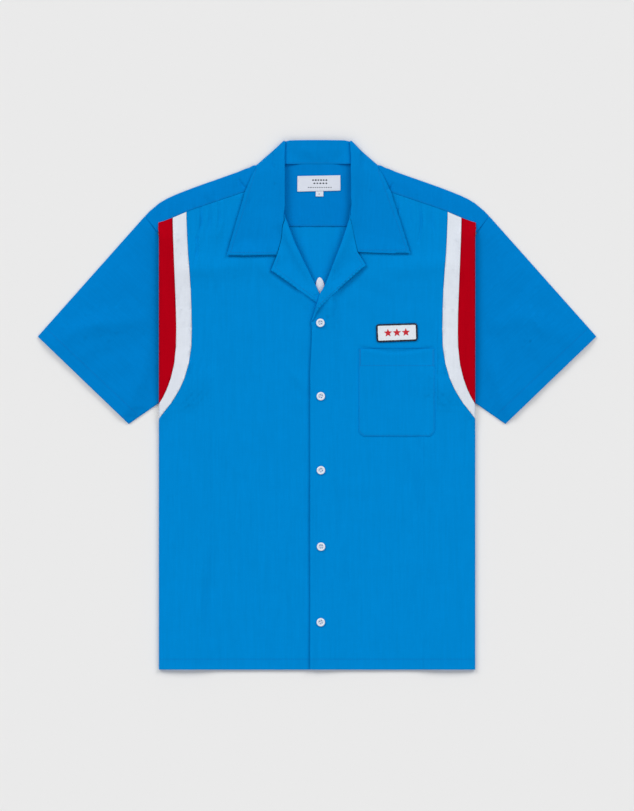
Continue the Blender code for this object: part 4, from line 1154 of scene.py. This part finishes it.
BUTTON_TURNS = (8.0, -14.0, 38.0, 4.0, 22.0)  # how each one has turned on its thread
shape_points, shape_faces, shape_dish = button_mesh()
for number, turned in enumerate(BUTTON_TURNS, 1):
    node = f"button_{number}"
    low, high = (Vector(p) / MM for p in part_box(node))
    cx, cy = (low.x + high.x) / 2, (low.y + high.y) / 2
    rise = float(body_field(np.array([cx]), np.array([cy]))[0])
    cos, sin = math.cos(math.radians(turned)), math.sin(math.radians(turned))

    def set_down(points):
        return [((cx + x * cos - y * sin) * MM, (cy + x * sin + y * cos) * MM,
                 (low.z + rise + z) * MM) for x, y, z in points]

    mesh = bpy.data.meshes.new(f"{node}_shell")
    mesh.from_pydata(set_down(shape_points), [], shape_faces)
    shell = finished(f"{node}_shell", mesh, button_shell, "button", node, angle=38)
    mesh.materials.append(button_dish_painted_shade)
    for face, inner in zip(shell.data.polygons, shape_dish):
        face.material_index = int(inner)
    points, faces = [], []
    for offset in (-1, 1):
        for strand in (-0.2, 0.2):
            more, sides = thread_bar(offset * HOLE_PLACE + strand, -HOLE_PLACE, HOLE_PLACE,
                                     BUTTON_RINGS[-2][1])
            faces += [tuple(i + len(points) for i in face) for face in sides]
            points += more
    mesh = bpy.data.meshes.new(f"{node}_thread")
    mesh.from_pydata(set_down(points), [], faces)
    finished(f"{node}_thread", mesh, white_thread, "button")

# ---------------------------------------------------------------- camera, light, floor

PHOTO_WIDTH, PHOTO_HEIGHT = 634, 811  # pixels
ORIGIN_PX, ORIGIN_PY = 317.05, 405.15  # the pixel where the origin lies
PIXEL = 1.5 * MM

camera = bpy.data.cameras.new("camera")
camera.type = "ORTHO"
camera.ortho_scale = PHOTO_HEIGHT * PIXEL
camera.clip_end = 20.0
eye = bpy.data.objects.new("camera", camera)
eye.location = ((PHOTO_WIDTH / 2 - ORIGIN_PX) * PIXEL, (ORIGIN_PY - PHOTO_HEIGHT / 2) * PIXEL, 3.0)
bpy.context.scene.collection.objects.link(eye)
bpy.context.scene.camera = eye


def soft_light(name, aim, strength, spread):
    """An even, soft light from far off, towards which its aim points back."""
    light = bpy.data.lights.new(name, "SUN")
    light.energy = strength
    light.angle = math.radians(spread)
    lamp = bpy.data.objects.new(name, light)
    lamp.location = aim
    lamp.rotation_euler = Vector(aim).to_track_quat("Z", "Y").to_euler()
    bpy.context.scene.collection.objects.link(lamp)


soft_light("window_left", (-1.1, 1.0, 1.1), 1.3, 30.0)
soft_light("window_right", (1.0, 1.05, 1.1), 1.15, 30.0)
soft_light("fill", (0.1, -1.2, 1.3), 0.6, 60.0)
world = bpy.data.worlds.new("studio")
world.use_nodes = True
world.node_tree.nodes["Background"].inputs["Color"].default_value = (1.0, 1.0, 1.0, 1.0)
world.node_tree.nodes["Background"].inputs["Strength"].default_value = 0.382
bpy.context.scene.world = world
bpy.context.scene.view_settings.view_transform = "Standard"

FLOOR_REACH = 6.0
floor_mesh = bpy.data.meshes.new("floor")
corners = [(x * FLOOR_REACH, y * FLOOR_REACH, 0.0) for x, y in ((-1, -1), (1, -1), (1, 1), (-1, 1))]
floor_mesh.from_pydata(corners, [], [(0, 1, 2, 3)])
floor_mesh.materials.append(floor_paint)
floor = bpy.data.objects.new("floor", floor_mesh)
bpy.context.scene.collection.objects.link(floor)
floor.location.z = -0.0002
